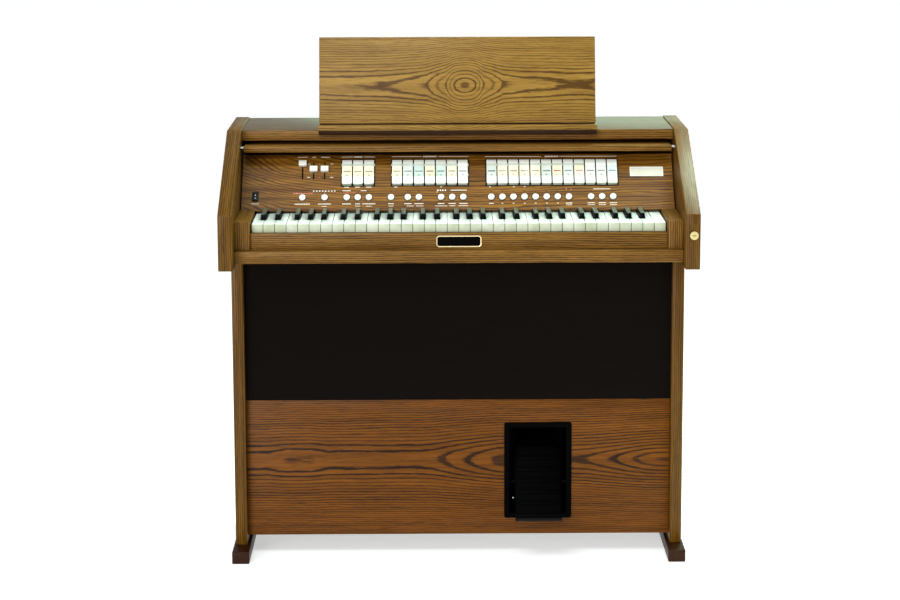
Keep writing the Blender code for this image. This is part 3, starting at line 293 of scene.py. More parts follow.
def speaker_cloth(name):
    """Open speaker cloth, woven of dull brown-black yarn: a plain weave over the dark baffle."""
    made, tree, shader = finish_of(name, Roughness=0.95, IOR=1.4, Specular_IOR_Level=0.15)
    place = add(tree, "TexCoord").outputs["Object"]
    # Threads are 0.6 mm apart; drawn 2.4 mm apart, so that they show at this distance.
    warp = add(tree, "TexWave", {"Vector": place, "Scale": 2 * pi / 0.0024 / 20}, bands_direction="X")
    weft = add(tree, "TexWave", {"Vector": place, "Scale": 2 * pi / 0.0024 / 20}, bands_direction="Z")
    cross = add(tree, "Math", [warp.outputs["Fac"], weft.outputs["Fac"]], operation="MULTIPLY")
    slub = add(tree, "Mapping", {"Vector": place, "Scale": (14.0, 1.0, 160.0)})
    uneven = add(tree, "TexNoise", {"Vector": slub, "Scale": 1.0, "Detail": 3.0})
    level = add(tree, "Math", [add(tree, "Math", [cross, 0.6], operation="MULTIPLY"),
                               add(tree, "Math", [uneven, 0.5], operation="MULTIPLY")])
    colour = add(tree, "ValToRGB", [level], stops=[(0.1, "050303"), (0.9, "150D09")])
    bump = add(tree, "Bump", {"Height": cross, "Strength": 0.5, "Distance": 0.0003})
    feed(tree, shader, {"Base Color": colour, "Normal": bump})
    return made


def circuit_board(name):
    """Glass-epoxy board under green solder mask: copper tracks show through as paler lines."""
    made, tree, shader = finish_of(name, Roughness=0.35, IOR=1.5)
    place = add(tree, "TexCoord").outputs["Object"]
    tracks = add(tree, "TexBrick", {"Vector": place, "Color1": rgb("14502A"), "Color2": rgb("0F4223"),
                                    "Mortar": rgb("2E7A48"), "Scale": 60.0, "Mortar Size": 0.03})
    feed(tree, shader, {"Base Color": tracks})
    return made


def alone(piece):
    """Leave one object selected and active."""
    bpy.ops.object.select_all(action="DESELECT")
    piece.select_set(True)
    bpy.context.view_layer.objects.active = piece


def open_edit(piece, kind="FACE"):
    """Open a piece in edit mode, ready to pick vertices, edges or faces."""
    alone(piece)
    bpy.ops.object.mode_set(mode="EDIT")
    bpy.ops.mesh.select_mode(type=kind)


def close_edit():
    """Go back to object mode."""
    bpy.ops.object.mode_set(mode="OBJECT")


def pick_faces(piece, test):
    """Select the faces whose middle and normal pass a test."""
    bpy.ops.mesh.select_all(action="DESELECT")
    shape = bmesh.from_edit_mesh(piece.data)
    for face in shape.faces:
        face.select_set(test(face.calc_center_median(), face.normal))
    bmesh.update_edit_mesh(piece.data)


def pick_corners(piece, test):
    """Select the vertices whose place passes a test."""
    bpy.ops.mesh.select_all(action="DESELECT")
    shape = bmesh.from_edit_mesh(piece.data)
    for corner in shape.verts:
        corner.select_set(test(corner.co))
    shape.select_flush(True)
    bmesh.update_edit_mesh(piece.data)


def ease(piece, width, test=None, least=0.0, segments=2):
    """Round the sharp edges that are longer than least and whose two ends pass a test."""
    open_edit(piece, "EDGE")
    bpy.ops.mesh.select_all(action="DESELECT")
    shape = bmesh.from_edit_mesh(piece.data)
    for edge in shape.edges:
        a, b = edge.verts
        sharp = len(edge.link_faces) == 2 and edge.calc_face_angle() > radians(30)
        if sharp and edge.calc_length() > least and (not test or test(a.co, b.co)):
            edge.select_set(True)
    bmesh.update_edit_mesh(piece.data)
    bpy.ops.mesh.bevel(offset=width, segments=segments, affect="EDGES", clamp_overlap=True)
    close_edit()
    alone(piece)
    bpy.ops.object.shade_smooth_by_angle(angle=radians(40))
    return piece


def block(name, low, high):
    """Start a piece from a cube at its size and place."""
    bpy.ops.object.select_all(action="DESELECT")
    middle = (Vector(low) + Vector(high)) / 2
    bpy.ops.mesh.primitive_cube_add(size=1.0, location=middle, scale=Vector(high) - Vector(low))
    return rest_at_origin(name)


def round_bar(name, radius, low, high, sides=32, location=(0.0, 0.0)):
    """Start a round piece that stands along Z from a cylinder at its size and place."""
    bpy.ops.object.select_all(action="DESELECT")
    bpy.ops.mesh.primitive_cylinder_add(vertices=sides, radius=radius, depth=high - low,
                                        location=(*location, (low + high) / 2))
    return rest_at_origin(name)


def rest_at_origin(name):
    """Name the new object and move its place and size into its mesh."""
    made = bpy.context.object
    made.name = name
    bpy.ops.object.transform_apply(location=True, rotation=True, scale=True)
    return made


def copies(piece, places):
    """Copy a finished piece to each place, each copy with its own mesh, and join them all."""
    made = []
    for place in places:
        twin = bpy.data.objects.new(piece.name, piece.data.copy())
        bpy.context.scene.collection.objects.link(twin)
        twin.data.transform(place)
        made.append(twin)
    bpy.data.objects.remove(piece)
    return join(made)


def join(pieces):
    """Join pieces into the first one."""
    bpy.ops.object.select_all(action="DESELECT")
    for piece in pieces:
        piece.select_set(True)
    bpy.context.view_layer.objects.active = pieces[0]
    if len(pieces) > 1:
        bpy.ops.object.join()
    return pieces[0]


def lay_grain(piece, along=ACROSS, other=UPRIGHT):
    """Give each face a UV map in metres whose U runs with the grain, as veneer is laid.

    A face that the grain would run into takes the other way.
    """
    layer = piece.data.uv_layers.get("grain") or piece.data.uv_layers.new(name="grain")
    for face in piece.data.polygons:
        normal = face.normal
        run = Vector(along) - normal * normal.dot(Vector(along))
        if run.length < 0.5:
            run = Vector(other) - normal * normal.dot(Vector(other))
        run.normalize()
        across = normal.cross(run)
        for corner in face.loop_indices:
            point = piece.data.vertices[piece.data.loops[corner].vertex_index].co
            layer.data[corner].uv = (point.dot(run), point.dot(across))
    return piece


def paint(piece, looks, choose=None):
    """Give a piece its materials, and each face the one that its middle and normal call for."""
    piece.data.materials.clear()
    for look in looks:
        piece.data.materials.append(look)
    for face in piece.data.polygons:
        face.material_index = choose(face.center, face.normal) if choose else 0
    return piece


def mount(piece, name, body, slot, *nodes):
    """Name a finished piece and say what it rides on and what it stands for. The slot is not used."""
    piece.name = name
    piece.data.name = name
    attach(piece, body)
    if nodes:
        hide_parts(*nodes)
    return piece


def solid_copy(node):
    """Copy a CAD solid and join its loose triangles into whole faces."""
    made = bpy.data.objects.new(node + "_eased", frame["nodes"][node].data.copy())
    bpy.context.scene.collection.objects.link(made)
    open_edit(made, "VERT")
    bpy.ops.mesh.customdata_custom_splitnormals_clear()
    bpy.ops.mesh.select_all(action="SELECT")
    bpy.ops.mesh.remove_doubles(threshold=0.00001)
    bpy.ops.mesh.dissolve_limited(angle_limit=radians(0.5))
    close_edit()
    made.data.polygons.foreach_set("use_smooth", [False] * len(made.data.polygons))
    return made


def stand_for(piece, node):
    """Let a finished piece stand for one CAD node, on its body."""
    bodies = frame["record"]["behaviour"]["bodies"]
    body = next(name for name, nodes in bodies.items() if node in nodes)
    slot = next(part["material_slot"] for part in frame["record"]["subparts"] if part["node"] == node)
    return mount(piece, node + "_eased", body, slot, node)


def coat(node, look):
    """Give a CAD node that stays as it is a better material."""
    shape = frame["nodes"][node].data
    for place in range(len(shape.materials)):
        shape.materials[place] = look


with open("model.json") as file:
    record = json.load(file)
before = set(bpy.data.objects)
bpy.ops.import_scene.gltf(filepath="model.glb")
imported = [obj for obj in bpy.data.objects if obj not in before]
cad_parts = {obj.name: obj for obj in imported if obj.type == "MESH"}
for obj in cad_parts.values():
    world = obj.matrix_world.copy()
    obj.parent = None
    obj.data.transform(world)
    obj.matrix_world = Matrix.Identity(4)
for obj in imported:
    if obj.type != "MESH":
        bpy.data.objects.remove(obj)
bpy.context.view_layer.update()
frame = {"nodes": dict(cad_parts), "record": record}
scene = bpy.context.scene

# Finishes

# Oak veneer, plain sawn, stained brown and lacquered: dark rings and open pores under a satin film.
# The depths follow each board's own figure: none on the plain ones, arches on the panel and the
# knee panel, and a closed eye in the middle of the desk.
flat_grain = [(0.0, 0.2), (1.0, 0.2)]
case_oak = oak("case_oak_veneer", ("90662C", "704C1C"), "241204", -0.30, flat_grain, seed=3.1)
# The top's upper face: a darker, greyer copy of the case veneer, a painted reflection under its real gloss.
top_face_painted_reflection = oak("top_face_painted_reflection_veneer", ("624C2A", "523E20"), "2C1C0C", -0.30, flat_grain, seed=3.1, gloss=0.50)
# The lid lip's upper face: a paler, greyer copy of the case veneer, a painted highlight.
lip_painted_highlight = oak("lid_lip_painted_highlight_veneer", ("786442", "625032"), "2C1C0C", -0.30, flat_grain, seed=3.1)
cheek_oak = oak("cheek_oak_veneer", ("785010", "5C3C0C"), "221104", -0.30, flat_grain, seed=7.7, gloss=0.18)
panel_oak = oak("panel_oak_veneer", ("98681E", "663C06"), "2A1406", 0.83,
                [(0.0, 1.0), (0.13, 0.62), (0.3, 0.42), (0.6, 0.36), (0.8, 0.40), (1.0, 0.60)],
                ring=0.0068, wave=0.030, seed=11.3, reach=0.2, gloss=0.28)
knee_oak = oak("knee_oak_veneer", ("7E480C", "643806"), "160802", 0.2085,
               [(0.0, 0.552), (0.09, 0.548), (0.13, 0.526), (0.18, 0.524), (0.22, 0.548), (0.42, 0.548),
                (0.450, 0.535), (0.470, 0.514), (0.526, 0.451), (0.587, 0.385), (0.783, 0.313),
                (0.843, 0.235), (0.890, 0.143), (0.930, 0.05), (1.0, 0.0)],
               ring=0.0143, rate=1.4, wave=0.006, seed=25.5)
desk_oak = oak("desk_oak_veneer", ("9A7636", "82602A"), "40260C", 1.005,
               [(0.0, 0.50), (0.20, 0.497), (0.30, 0.495), (0.350, 0.486), (0.385, 0.470), (0.436, 0.432),
                (0.477, 0.311), (0.493, 0.158), (0.516, 0.0), (0.539, 0.158), (0.555, 0.311), (0.596, 0.432),
                (0.64, 0.455), (0.70, 0.470), (0.735, 0.484), (0.77, 0.484), (0.80, 0.470), (1.0, 0.46)],
               ring=0.0145, rate=1.5, wave=0.006, seed=24.6)
foot_oak = oak("foot_oak_dark", ("3A1C06", "301604"), "1A0D05", -0.30, flat_grain, seed=9.4)

# Wool felt, pressed: brown, with no shine at all
felt_brown = moulded("desk_felt_brown", "3A2614", 0.90, "46301C")

# Keys of moulded acrylic: cold white tops with a hard shine, fronts painted a dimmer cream as painted shade,
# and sides painted grey as painted shade between the keys.
# The sharps are dyed through: black sides that give nothing back, and tops painted grey-green, a painted
# sheen under the shader's own sheen.
key_white = moulded("natural_key_acrylic", "F2FEF9", 0.20)
key_sides_painted_shade = moulded("natural_side_painted_shade", "2E2E26", 0.60, "3A3A30")
fronts_painted_shade = moulded("natural_front_painted_shade", "B2BB9D", 0.35)
key_black = moulded("sharp_key_black", "010303", 0.30, "030605", Specular_IOR_Level=0.04)
sharp_tops_painted_sheen = moulded("sharp_top_painted_sheen", "3E5046", 0.24, "4A5E54", Specular_IOR_Level=0.50, Sheen_Weight=0.25,
                    Sheen_Roughness=0.35, Sheen_Tint=rgb("DCF2E6"))

# Stop tabs of moulded ABS, satin white; painted shade makes the upper facet and the lower lip grey-green and
# the sides near black, between the tabs.
# Their labels are flat tinted films, and the print on them is a dull ink.
tab_white = moulded("tab_white", "F2F5EE", 0.30)
painted_shade_facet = moulded("facet_painted_shade_grey_green", "BAC4B4", 0.30)
painted_shade_lip = moulded("lip_painted_shade_grey_green", "C4CFBE", 0.35)
painted_shade_side = moulded("side_painted_shade_dark", "1C1A16", 0.60, "26231E")
label_looks = {
    "y": moulded("tab_label_cream", "F0E4C2", 0.35), "g": moulded("tab_label_pale_green", "CAD2CC", 0.35),
    "G": moulded("tab_label_green", "B4CEC4", 0.35), "r": moulded("tab_label_straw", "F0E4C2", 0.35),
    "w": moulded("tab_label_white", "DADCD8", 0.35), "b": moulded("tab_label_blue", "D4E4E8", 0.35)}
text_looks = {
    "y": moulded("tab_print_brown", "80603A", 0.45), "g": moulded("tab_print_grey_green", "1C484A", 0.45),
    "G": moulded("tab_print_dark_green", "083236", 0.45), "r": moulded("tab_print_red", "B0300E", 0.45),
    "w": moulded("tab_print_grey", "4C5A5C", 0.45), "b": moulded("tab_print_blue", "1E5A70", 0.45)}

# Buttons, slider caps and rocker of moulded ABS: bright, smooth caps; the matt black rings round the buttons
# and the frames round the tab rows are painted shade.
piston_white = moulded("piston_white", "EEEDE8", 0.28)
painted_shade_black = moulded("collar_and_frame_painted_shade", "080504", 0.50, "0E0A08", Specular_IOR_Level=0.15)
switch_white = moulded("slider_cap_white", "F0F0E8", 0.30)
switch_black = moulded("rocker_black", "0C1518", 0.28, "16242A")
mark_blue = moulded("rocker_mark_pale_blue", "BFD6E4", 0.45)

# Screen print on the panel: flat inks that neither shine nor shade
print_cream = moulded("panel_print_cream", "FFF8EA", 0.50)
print_red = moulded("panel_print_red", "C8432A", 0.50)
print_dark = moulded("panel_print_dark", "2A2018", 0.50, "3A3028")

# Swell pedal: a moulded housing and a rubber tread, near black and dull, with a grey painted highlight along
# the upper edge of the lip
pedal_black = moulded("pedal_housing_black", "010101", 0.30, "020203", Specular_IOR_Level=0.02)
tread_rubber = moulded("pedal_tread_rubber", "010101", 0.50, "020203", Specular_IOR_Level=0.02)
tread_painted_highlight = moulded("pedal_lip_painted_highlight", "6A6C70", 0.45, "7C7E82")

# Mains socket and lid pins of moulded nylon: a soft skin with a low shine
socket_black = moulded("mains_socket_black", "101011", 0.45, "1C1C1D")
pin_nylon = moulded("lid_pin_nylon", "F6F4EE", 0.35)

# Plates: an enamelled black field, and a printed cream one with a brighter border
plate_black = moulded("name_plate_black", "020202", 0.30, "050404", Specular_IOR_Level=0.03)
plate_cream = moulded("label_plate_cream", "D8D8C8", 0.30)
plate_edge = moulded("label_plate_border", "FBFBF4", 0.25)

# Turned brass, gilt border, blued, plated and bare steel: each its own colour, with fine tool lines; the
# darker brass is painted shade on the lock's rim and keyhole
brass = metal("lock_brass", "F2E2A8", "D8C27C", 0.30, (8.0, 400.0, 8.0))
brass_painted_shade = metal("lock_brass_in_painted_shade", "6A5A34", "4A3C20", 0.40)
plate_gold = metal("name_plate_border", "F0DDB4", "DCC493", 0.35)
blued_steel = metal("axle_blued_steel", "16181A", "0A0B0C", 0.45)
steel = metal("zinc_plated_steel", "C9CBC9", "A9ACAC", 0.35)
iron = metal("speaker_basket_steel", "8C8F90", "6E7172", 0.45)
laminate = metal("transformer_laminations", "5B5F62", "3E4244", 0.55, (8.0, 8.0, 400.0))

# Unfinished boards behind and inside, the woven cloth and the green circuit board
board_chip = chipboard("case_chipboard", "B59468", "7C5C38")
back_hardboard = chipboard("back_hardboard", "8A6844", "5C4028")
baffle_chip = chipboard("baffle_stained_chipboard", "2A2320", "120E0C")
cloth = speaker_cloth("speaker_cloth_brown")
green_board = circuit_board("tone_board_green")


# Case boards: veneered, with eased edges
def on_cheek_outline(point):
    """Say whether a point lies on the outline of a cheek and not in its lid grooves."""
    (y0, z0), (y1, z1) = CHEEK_SLOPE
    off_slope = abs((z1 - z0) * (point.y - y0) - (y1 - y0) * (point.z - z0)) / hypot(y1 - y0, z1 - z0)
    return (min(abs(point.y - end) for end in CHEEK_ENDS) < ON_FACE or off_slope < ON_FACE
            or min(abs(point.z - height) for height in CHEEK_HEIGHTS) < ON_FACE)


for node in ("left_cheek", "right_cheek"):
    cheek = solid_copy(node)
    ease(cheek, CASE_EDGE, lambda a, b: on_cheek_outline(a) and on_cheek_outline(b), least=0.020)
    stand_for(paint(lay_grain(cheek, UPRIGHT, DEEP), [cheek_oak]), node)

for node in ("left_side_panel", "right_side_panel"):
    side = ease(solid_copy(node), CASE_EDGE)
    stand_for(paint(lay_grain(side, UPRIGHT, DEEP), [cheek_oak]), node)

for node in ("left_foot", "right_foot"):
    foot = ease(solid_copy(node), FOOT_EDGE, segments=3)
    stand_for(paint(lay_grain(foot, DEEP), [foot_oak]), node)

# The top board's upper face takes the painted reflection, its edges the case veneer.
top = lay_grain(ease(solid_copy("top_panel"), THIN_BOARD_EDGE))
stand_for(paint(top, [case_oak, top_face_painted_reflection], lambda middle, normal: int(normal.z > 0.7)), "top_panel")

for node, radius, look in (("bed_rail", BOARD_EDGE, case_oak), ("key_slip", THIN_BOARD_EDGE, case_oak),
                           ("music_desk_board", BOARD_EDGE, desk_oak),
                           ("music_desk_ledge", BOARD_EDGE, desk_oak),
                           ("music_desk_batten", THIN_BOARD_EDGE, case_oak)):
    stand_for(paint(lay_grain(ease(solid_copy(node), radius)), [look]), node)

for node in ("left_key_block", "right_key_block"):
    stand_for(paint(lay_grain(ease(solid_copy(node), BOARD_EDGE), DEEP), [case_oak]), node)

felt = block("desk_felt", *DESK_FELT)
mount(paint(felt, [felt_brown]), "desk_felt", "cabinet", "oak")

# A dark strip of painted shadow under the ledge's front, over the top's front edge; its lower front edge
# leans back.
drop = block("ledge_painted_shadow_strip", *LEDGE_DROP)
open_edit(drop, "VERT")
pick_corners(drop, lambda p: p.z < LEDGE_DROP[0][2] + ON_FACE and p.y < LEDGE_DROP[0][1] + ON_FACE)
bpy.ops.transform.translate(value=(0.0, DROP_LEAN, 0.0))
close_edit()
mount(paint(lay_grain(ease(drop, STRIP_EDGE)), [foot_oak]), "ledge_painted_shadow_strip", "cabinet", "oak")

knee = ease(solid_copy("knee_panel"), THIN_BOARD_EDGE, least=0.030)
stand_for(paint(lay_grain(knee), [knee_oak]), "knee_panel")

panel = solid_copy("control_panel")
for side in (-1, 1):
    open_edit(panel, "VERT")
    pick_corners(panel, lambda p: side * p.x > PANEL_END - ON_FACE)
    bpy.ops.transform.translate(value=(-side * PANEL_GAP, 0.0, 0.0))
    close_edit()
stand_for(paint(lay_grain(panel), [panel_oak]), "control_panel")

shelf = ease(block("panel_head_shelf", *HEAD_SHELF), STRIP_EDGE)
mount(paint(lay_grain(shelf), [case_oak]), "panel_head_shelf", "cabinet", "oak")


def lid_face(middle, normal):
    """Tell a face of the guide pins (1) and the upper face of the lip (2), painted paler as a painted
    highlight, from the rest.
    """
    if abs(middle.x) > LID_PIN_X:
        return 1
    return 2 if middle.y < LID_LIP_Y and normal.y < -0.15 and normal.z > 0.15 else 0


lid = ease(solid_copy("lid"), CASE_EDGE, lambda a, b: max(abs(a.x), abs(b.x)) < LID_PIN_X, least=0.008)
stand_for(paint(lay_grain(lid), [case_oak, pin_nylon, lip_painted_highlight], lid_face), "lid")


# Keys
def natural_face(middle, normal):
    """Tell the front of a natural (1) and its sides (2), both painted shade, from its top."""
    if abs(normal.x) > 0.6:
        return 2
    return int(middle.y < KEY_FRONT_Y + 0.004 and normal.y < -0.8)


for node in [f"naturals_{i}" for i in range(1, 6)] + ["top_natural"]:
    keys = ease(solid_copy(node), NATURAL_EDGE, least=0.003)
    stand_for(paint(keys, [key_white, fronts_painted_shade, key_sides_painted_shade], natural_face), node)


def pinch_tops(sharps):
    """Narrow the top of each sharp about its own middle."""
    open_edit(sharps, "VERT")
    shape = bmesh.from_edit_mesh(sharps.data)
    on_top = SHARP_TOP_Z - 0.0003
    sides = sorted({round(corner.co.x, 5) for corner in shape.verts if corner.co.z > on_top})
    for left, right in zip(sides[0::2], sides[1::2]):
        middle = (left + right) / 2
        pick_corners(sharps, lambda p: abs(p.x - middle) < 0.007 and p.z > on_top)
        bpy.ops.transform.resize(value=(SHARP_PINCH, 1.0, 1.0), center_override=(middle, 0.0, SHARP_TOP_Z))
    close_edit()


for i in range(1, 6):
    sharps = solid_copy(f"sharps_{i}")
    pinch_tops(sharps)
    ease(sharps, SHARP_EDGE, lambda a, b: max(a.z, b.z) > KEY_TOP_Z, least=0.001, segments=3)
    # Sharp tops take the grey-green painted sheen; the rest stays black.
    paint(sharps, [key_black, sharp_tops_painted_sheen], lambda middle, normal: int(normal.z > 0.5))
    stand_for(sharps, f"sharps_{i}")


# Everything on the control panel is shaped flat, in the panel's own space, then set on its slope
def dash(x, s, width, height, rise=0.0):
    """Place one printed mark of a given size on the panel's plane."""
    return Matrix.Translation((x, s, rise)) @ Matrix.Diagonal((width, height, 1.0, 1.0))


def words(middle, s, width, height=0.0023, step=0.0017, rise=0.0):
    """Places for the row of small marks that stands for one line of print."""
    count = max(1, round(width / step))
    return [dash(middle + (i - (count - 1) / 2) * step, s, 0.90 * step, height * (1.0, 0.8, 0.9)[i % 3],
                 rise) for i in range(count)]


def ink(name, places, look):
    """Print a set of thin marks: one mark with rounded corners, copied to every place."""
    mark = block(name, (-0.5, -0.5, -INK_HALF_T), (0.5, 0.5, INK_HALF_T))
    ease(mark, 0.18, lambda a, b: abs(a.z - b.z) > INK_HALF_T)
    return paint(copies(mark, places), [look])


def shape_tabs(row, left, count):
    """Narrow each tab about its own middle, lean the tops, ease the edges and part the label zones."""
    open_edit(row, "VERT")
    for i in range(count):
        x = left + (i + 0.5) * PITCH
        pick_corners(row, lambda p: abs(p.x - x) < PITCH / 2 and p.z > 0.0)
        bpy.ops.transform.resize(value=(TAB_SHARE, 1.0, 1.0), center_override=(x, 0.0, 0.0))
    pick_corners(row, lambda p: p.y > TAB_TOP - ON_FACE and p.z > 0.001)
    bpy.ops.transform.translate(value=TAB_LEAN)
    close_edit()
    ease(row, TAB_CORNER, lambda a, b: abs(a.z - b.z) > 0.001 and min(a.z, b.z) > -0.0022
         and (a - b).xy.length < 0.0005, segments=3)
    ease(row, TAB_EDGE, lambda a, b: min(a.z, b.z) > 0.0012, least=0.0004)
    open_edit(row)
    for s in (LABEL_TOP, LABEL_FOOT, TAB_LIP):
        bpy.ops.mesh.select_all(action="SELECT")
        bpy.ops.mesh.bisect(plane_co=(0.0, s, 0.0), plane_no=(0.0, 1.0, 0.0))
    close_edit()


def tab_row(node, middle, kinds):
    """One row of rocker tabs, with coloured label zones and two lines of print on each."""
    row = solid_copy(node)
    row.data.transform(PANEL.inverted())
    left = middle - len(kinds) * PITCH / 2
    shape_tabs(row, left, len(kinds))
    order = [tab_white, painted_shade_facet, painted_shade_lip, *label_looks.values(), painted_shade_side]

    def zone(at, normal):
        """Pick the place in the order of looks for one face: the sides, the lip and the upper facet take
        painted shade.
        """
        if at.z < 0.0 or abs(normal.x) > 0.6:
            return len(order) - 1
        if at.y < TAB_LIP:
            return 2
        kind = kinds[min(len(kinds) - 1, max(0, int((at.x - left) / PITCH)))]
        if at.y > LABEL_TOP:
            return 0 if at.y > TAB_BEND or kind in "wb" else 1
        return 3 + list(label_looks).index(kind) if at.y > LABEL_FOOT else 0

    paint(row, order, zone)
    marks = []
    for i, kind in enumerate(kinds):
        x = left + (i + 0.5) * PITCH
        printed = words(x, TEXT_S, *TEXT_SIZE, rise=TEXT_RISE)
        printed += [] if kind == "b" else words(x, MARK_S, *MARK_SIZE, rise=MARK_RISE)
        marks.append(ink("tab_print", printed, text_looks[kind]))
    made = join([row] + marks)
    made.data.transform(PANEL)
    return made


for node, (middle, kinds) in TAB_ROWS.items():
    stand_for(tab_row(node, middle, kinds), node)


def tab_frame(middle, count):
    """The narrow black frame in the panel's cutout, round one row of tabs: painted shade along the cutout's
    edge.
    """
    half = count * PITCH / 2 + WINDOW_GAPS[0] + FRAME_WIDTH
    made = block("tab_frame", (middle - half, TAB_FOOT - WINDOW_GAPS[1] - FRAME_WIDTH, -FRAME_HALF_T),
                 (middle + half, TAB_TOP + WINDOW_GAPS[2] + FRAME_WIDTH, FRAME_HALF_T))
    open_edit(made)
    pick_faces(made, lambda at, normal: abs(normal.z) > FACING)
    bpy.ops.mesh.inset(thickness=FRAME_WIDTH)
    bpy.ops.mesh.bridge_edge_loops()
    close_edit()
    return made


frames = paint(join([tab_frame(middle, len(kinds)) for middle, kinds in TAB_ROWS.values()]), [painted_shade_black])
frames.data.transform(PANEL)
mount(frames, "tab_painted_shade_frames", "cabinet", "black_plastic")


def piston():
    """One round push button with a softly rounded rim, standing at the origin."""
    made = round_bar("piston", PISTON_R, -PISTON_DEPTH, PISTON_RISE, 40)
    open_edit(made)
    pick_faces(made, lambda at, normal: normal.z > FACING)
    bpy.ops.mesh.inset(thickness=PISTON_RIM)
    bpy.ops.transform.translate(value=(0.0, 0.0, PISTON_CROWN))
    close_edit()
    return ease(made, BUTTON_EDGE, lambda a, b: min(a.z, b.z) > 0.0, segments=3)


def collar():
    """The black ring round a push button: painted shade in the gap round it."""
    made = round_bar("collar", COLLAR_R, -COLLAR_HALF_T, COLLAR_HALF_T, 40)
    open_edit(made)
    pick_faces(made, lambda at, normal: abs(normal.z) > FACING)
    bpy.ops.mesh.inset(thickness=COLLAR_WIDTH)
    bpy.ops.mesh.bridge_edge_loops()
    close_edit()
    return made


collars = []
for node, (first, count, step) in PISTONS.items():
    places = [(first + i * step, PISTON_S, 0.0) for i in range(count)]
    reach_x, reach_s = CARRIER_REACH
    low, high = CARRIER_DEPTHS
    bridge = ease(block("carrier", (first - reach_x, PISTON_S - reach_s, low),
                        (places[-1][0] + reach_x, PISTON_S + reach_s, high)), STRIP_EDGE)
    group = join([copies(piston(), [Matrix.Translation(place) for place in places]), bridge])
    group.data.transform(PANEL)
    stand_for(paint(group, [piston_white]), node)
    collars += places
rings = paint(copies(collar(), [Matrix.Translation(place) for place in collars]), [painted_shade_black])
rings.data.transform(PANEL)
mount(rings, "piston_painted_shade_collars", "cabinet", "black_plastic")

for node in ("slider_1", "slider_2", "slider_3"):
    cap = ease(solid_copy(node), BUTTON_EDGE, least=0.001)
    stand_for(paint(cap, [switch_white]), node)

rocker = ease(solid_copy("power_rocker"), ROCKER_EDGE, least=0.004)
paint(rocker, [switch_black])
marks = ink("rocker_marks", [dash(ROCKER_X, 0.0372, 0.0020, 0.0030, 0.00145),
                             dash(ROCKER_X, 0.0285, 0.0026, 0.0030, 0.00330)], mark_blue)
marks.data.transform(PANEL)
stand_for(join([rocker, marks]), "power_rocker")

# Print on the panel: thin generic marks, one line for each that the panel has. Rules are given by
# their middle, width and height, and titles and captions by their middle and width.
lines = [dash(-0.2338, 0.1314, 0.0265, 0.0013), dash(-0.1873, 0.1314, 0.0243, 0.0013),
         dash(-0.1080, 0.1318, 0.0645, 0.0013), dash(-0.0085, 0.1318, 0.0645, 0.0013),
         dash(0.1176, 0.1309, 0.1200, 0.0015), dash(0.2773, 0.1309, 0.1220, 0.0015)]
titles = [(-0.2107, 0.1314, 0.0160), (-0.0590, 0.1318, 0.0300), (0.1995, 0.1309, 0.0300)]
for x, s, width in titles:
    lines += words(x, s, width, 0.0034, 0.0024)
captions = [(-0.3285, 0.1311, 0.0200), (-0.3045, 0.1311, 0.0088), (-0.2800, 0.1311, 0.0195),
            (-0.2345, 0.0564, 0.0095), (-0.2115, 0.0564, 0.0100), (-0.1880, 0.0564, 0.0120),
            (-0.1310, 0.0564, 0.0070), (-0.0350, 0.0564, 0.0030), (0.0680, 0.0560, 0.0030),
            (0.1180, 0.0560, 0.0030), (0.1410, 0.0560, 0.0030),
            (-0.2345, 0.0478, 0.0175), (-0.1985, 0.0478, 0.0115),
            (-0.3270, 0.0155, 0.0320), (-0.2804, 0.0155, 0.0280), (-0.2805, 0.0098, 0.0100),
            (-0.2339, 0.0155, 0.0190), (-0.2106, 0.0155, 0.0110), (-0.1873, 0.0155, 0.0270),
            (-0.2106, 0.0098, 0.0095), (-0.1873, 0.0098, 0.0120),
            (-0.1408, 0.0155, 0.0125), (-0.1408, 0.0098, 0.0095),
            (-0.1053, 0.0155, 0.0160), (-0.0820, 0.0155, 0.0195),
            (-0.1000, 0.0098, 0.0150), (-0.0800, 0.0098, 0.0150),
            (-0.0354, 0.0155, 0.0135), (-0.0121, 0.0155, 0.0145), (0.0112, 0.0155, 0.0165),
            (-0.0354, 0.0098, 0.0250), (-0.0121, 0.0098, 0.0125), (0.0112, 0.0098, 0.0205),
            (0.0020, 0.0482, 0.0340), (0.3033, 0.0500, 0.0350),
            (0.0702, 0.0155, 0.0095), (0.2333, 0.0155, 0.0135), (0.2333, 0.0112, 0.0120)]
captions += [(0.0702 + i * STEP, 0.0155, 0.0034) for i in range(1, 7)]
captions += [(0.2800 + i * STEP, s, 0.0145) for i in range(3) for s in (0.0160, 0.0112)]
for x, s, width in captions:
    lines += words(x, s, width, 0.0018 if s > 0.0140 else 0.0012)

# More cream marks: the ends of the sliders' scales, the rocker's line, and two rows over the buttons
lines += [dash(x, s, 0.0065, 0.0011) for x in (-0.3150, -0.2665) for s in (0.1139, 0.0811)]
lines += [dash(ROCKER_X, 0.0166, 0.0160, 0.0012)]
lines += [dash(-0.3035 + i * 0.0063, 0.0472, 0.0030, 0.0024) for i in range(8)]
lines += [dash(-0.0420 + i * 0.0052, 0.0480, 0.0026, 0.0036) for i in range(4)]

# Red marks: between the sliders, under the first row, and the pointers beside single buttons
reds = [dash(-0.2927, s, 0.0024, 0.0014) for s in (0.1139, 0.0811)]
reds += [dash(-0.3440 + i * 0.0052, 0.0415, 0.0040, 0.0022) for i in range(8)]
reds += [dash(-0.2350, 0.0429, 0.0130, 0.0016), dash(-0.2215, 0.0429, 0.0130, 0.0011),
         dash(-0.2800, 0.0445, 0.0014, 0.0090), dash(0.2285, 0.0495, 0.0016, 0.0060),
         dash(0.2385, 0.0495, 0.0022, 0.0022), dash(-0.0440, 0.0440, 0.0022, 0.0050)]

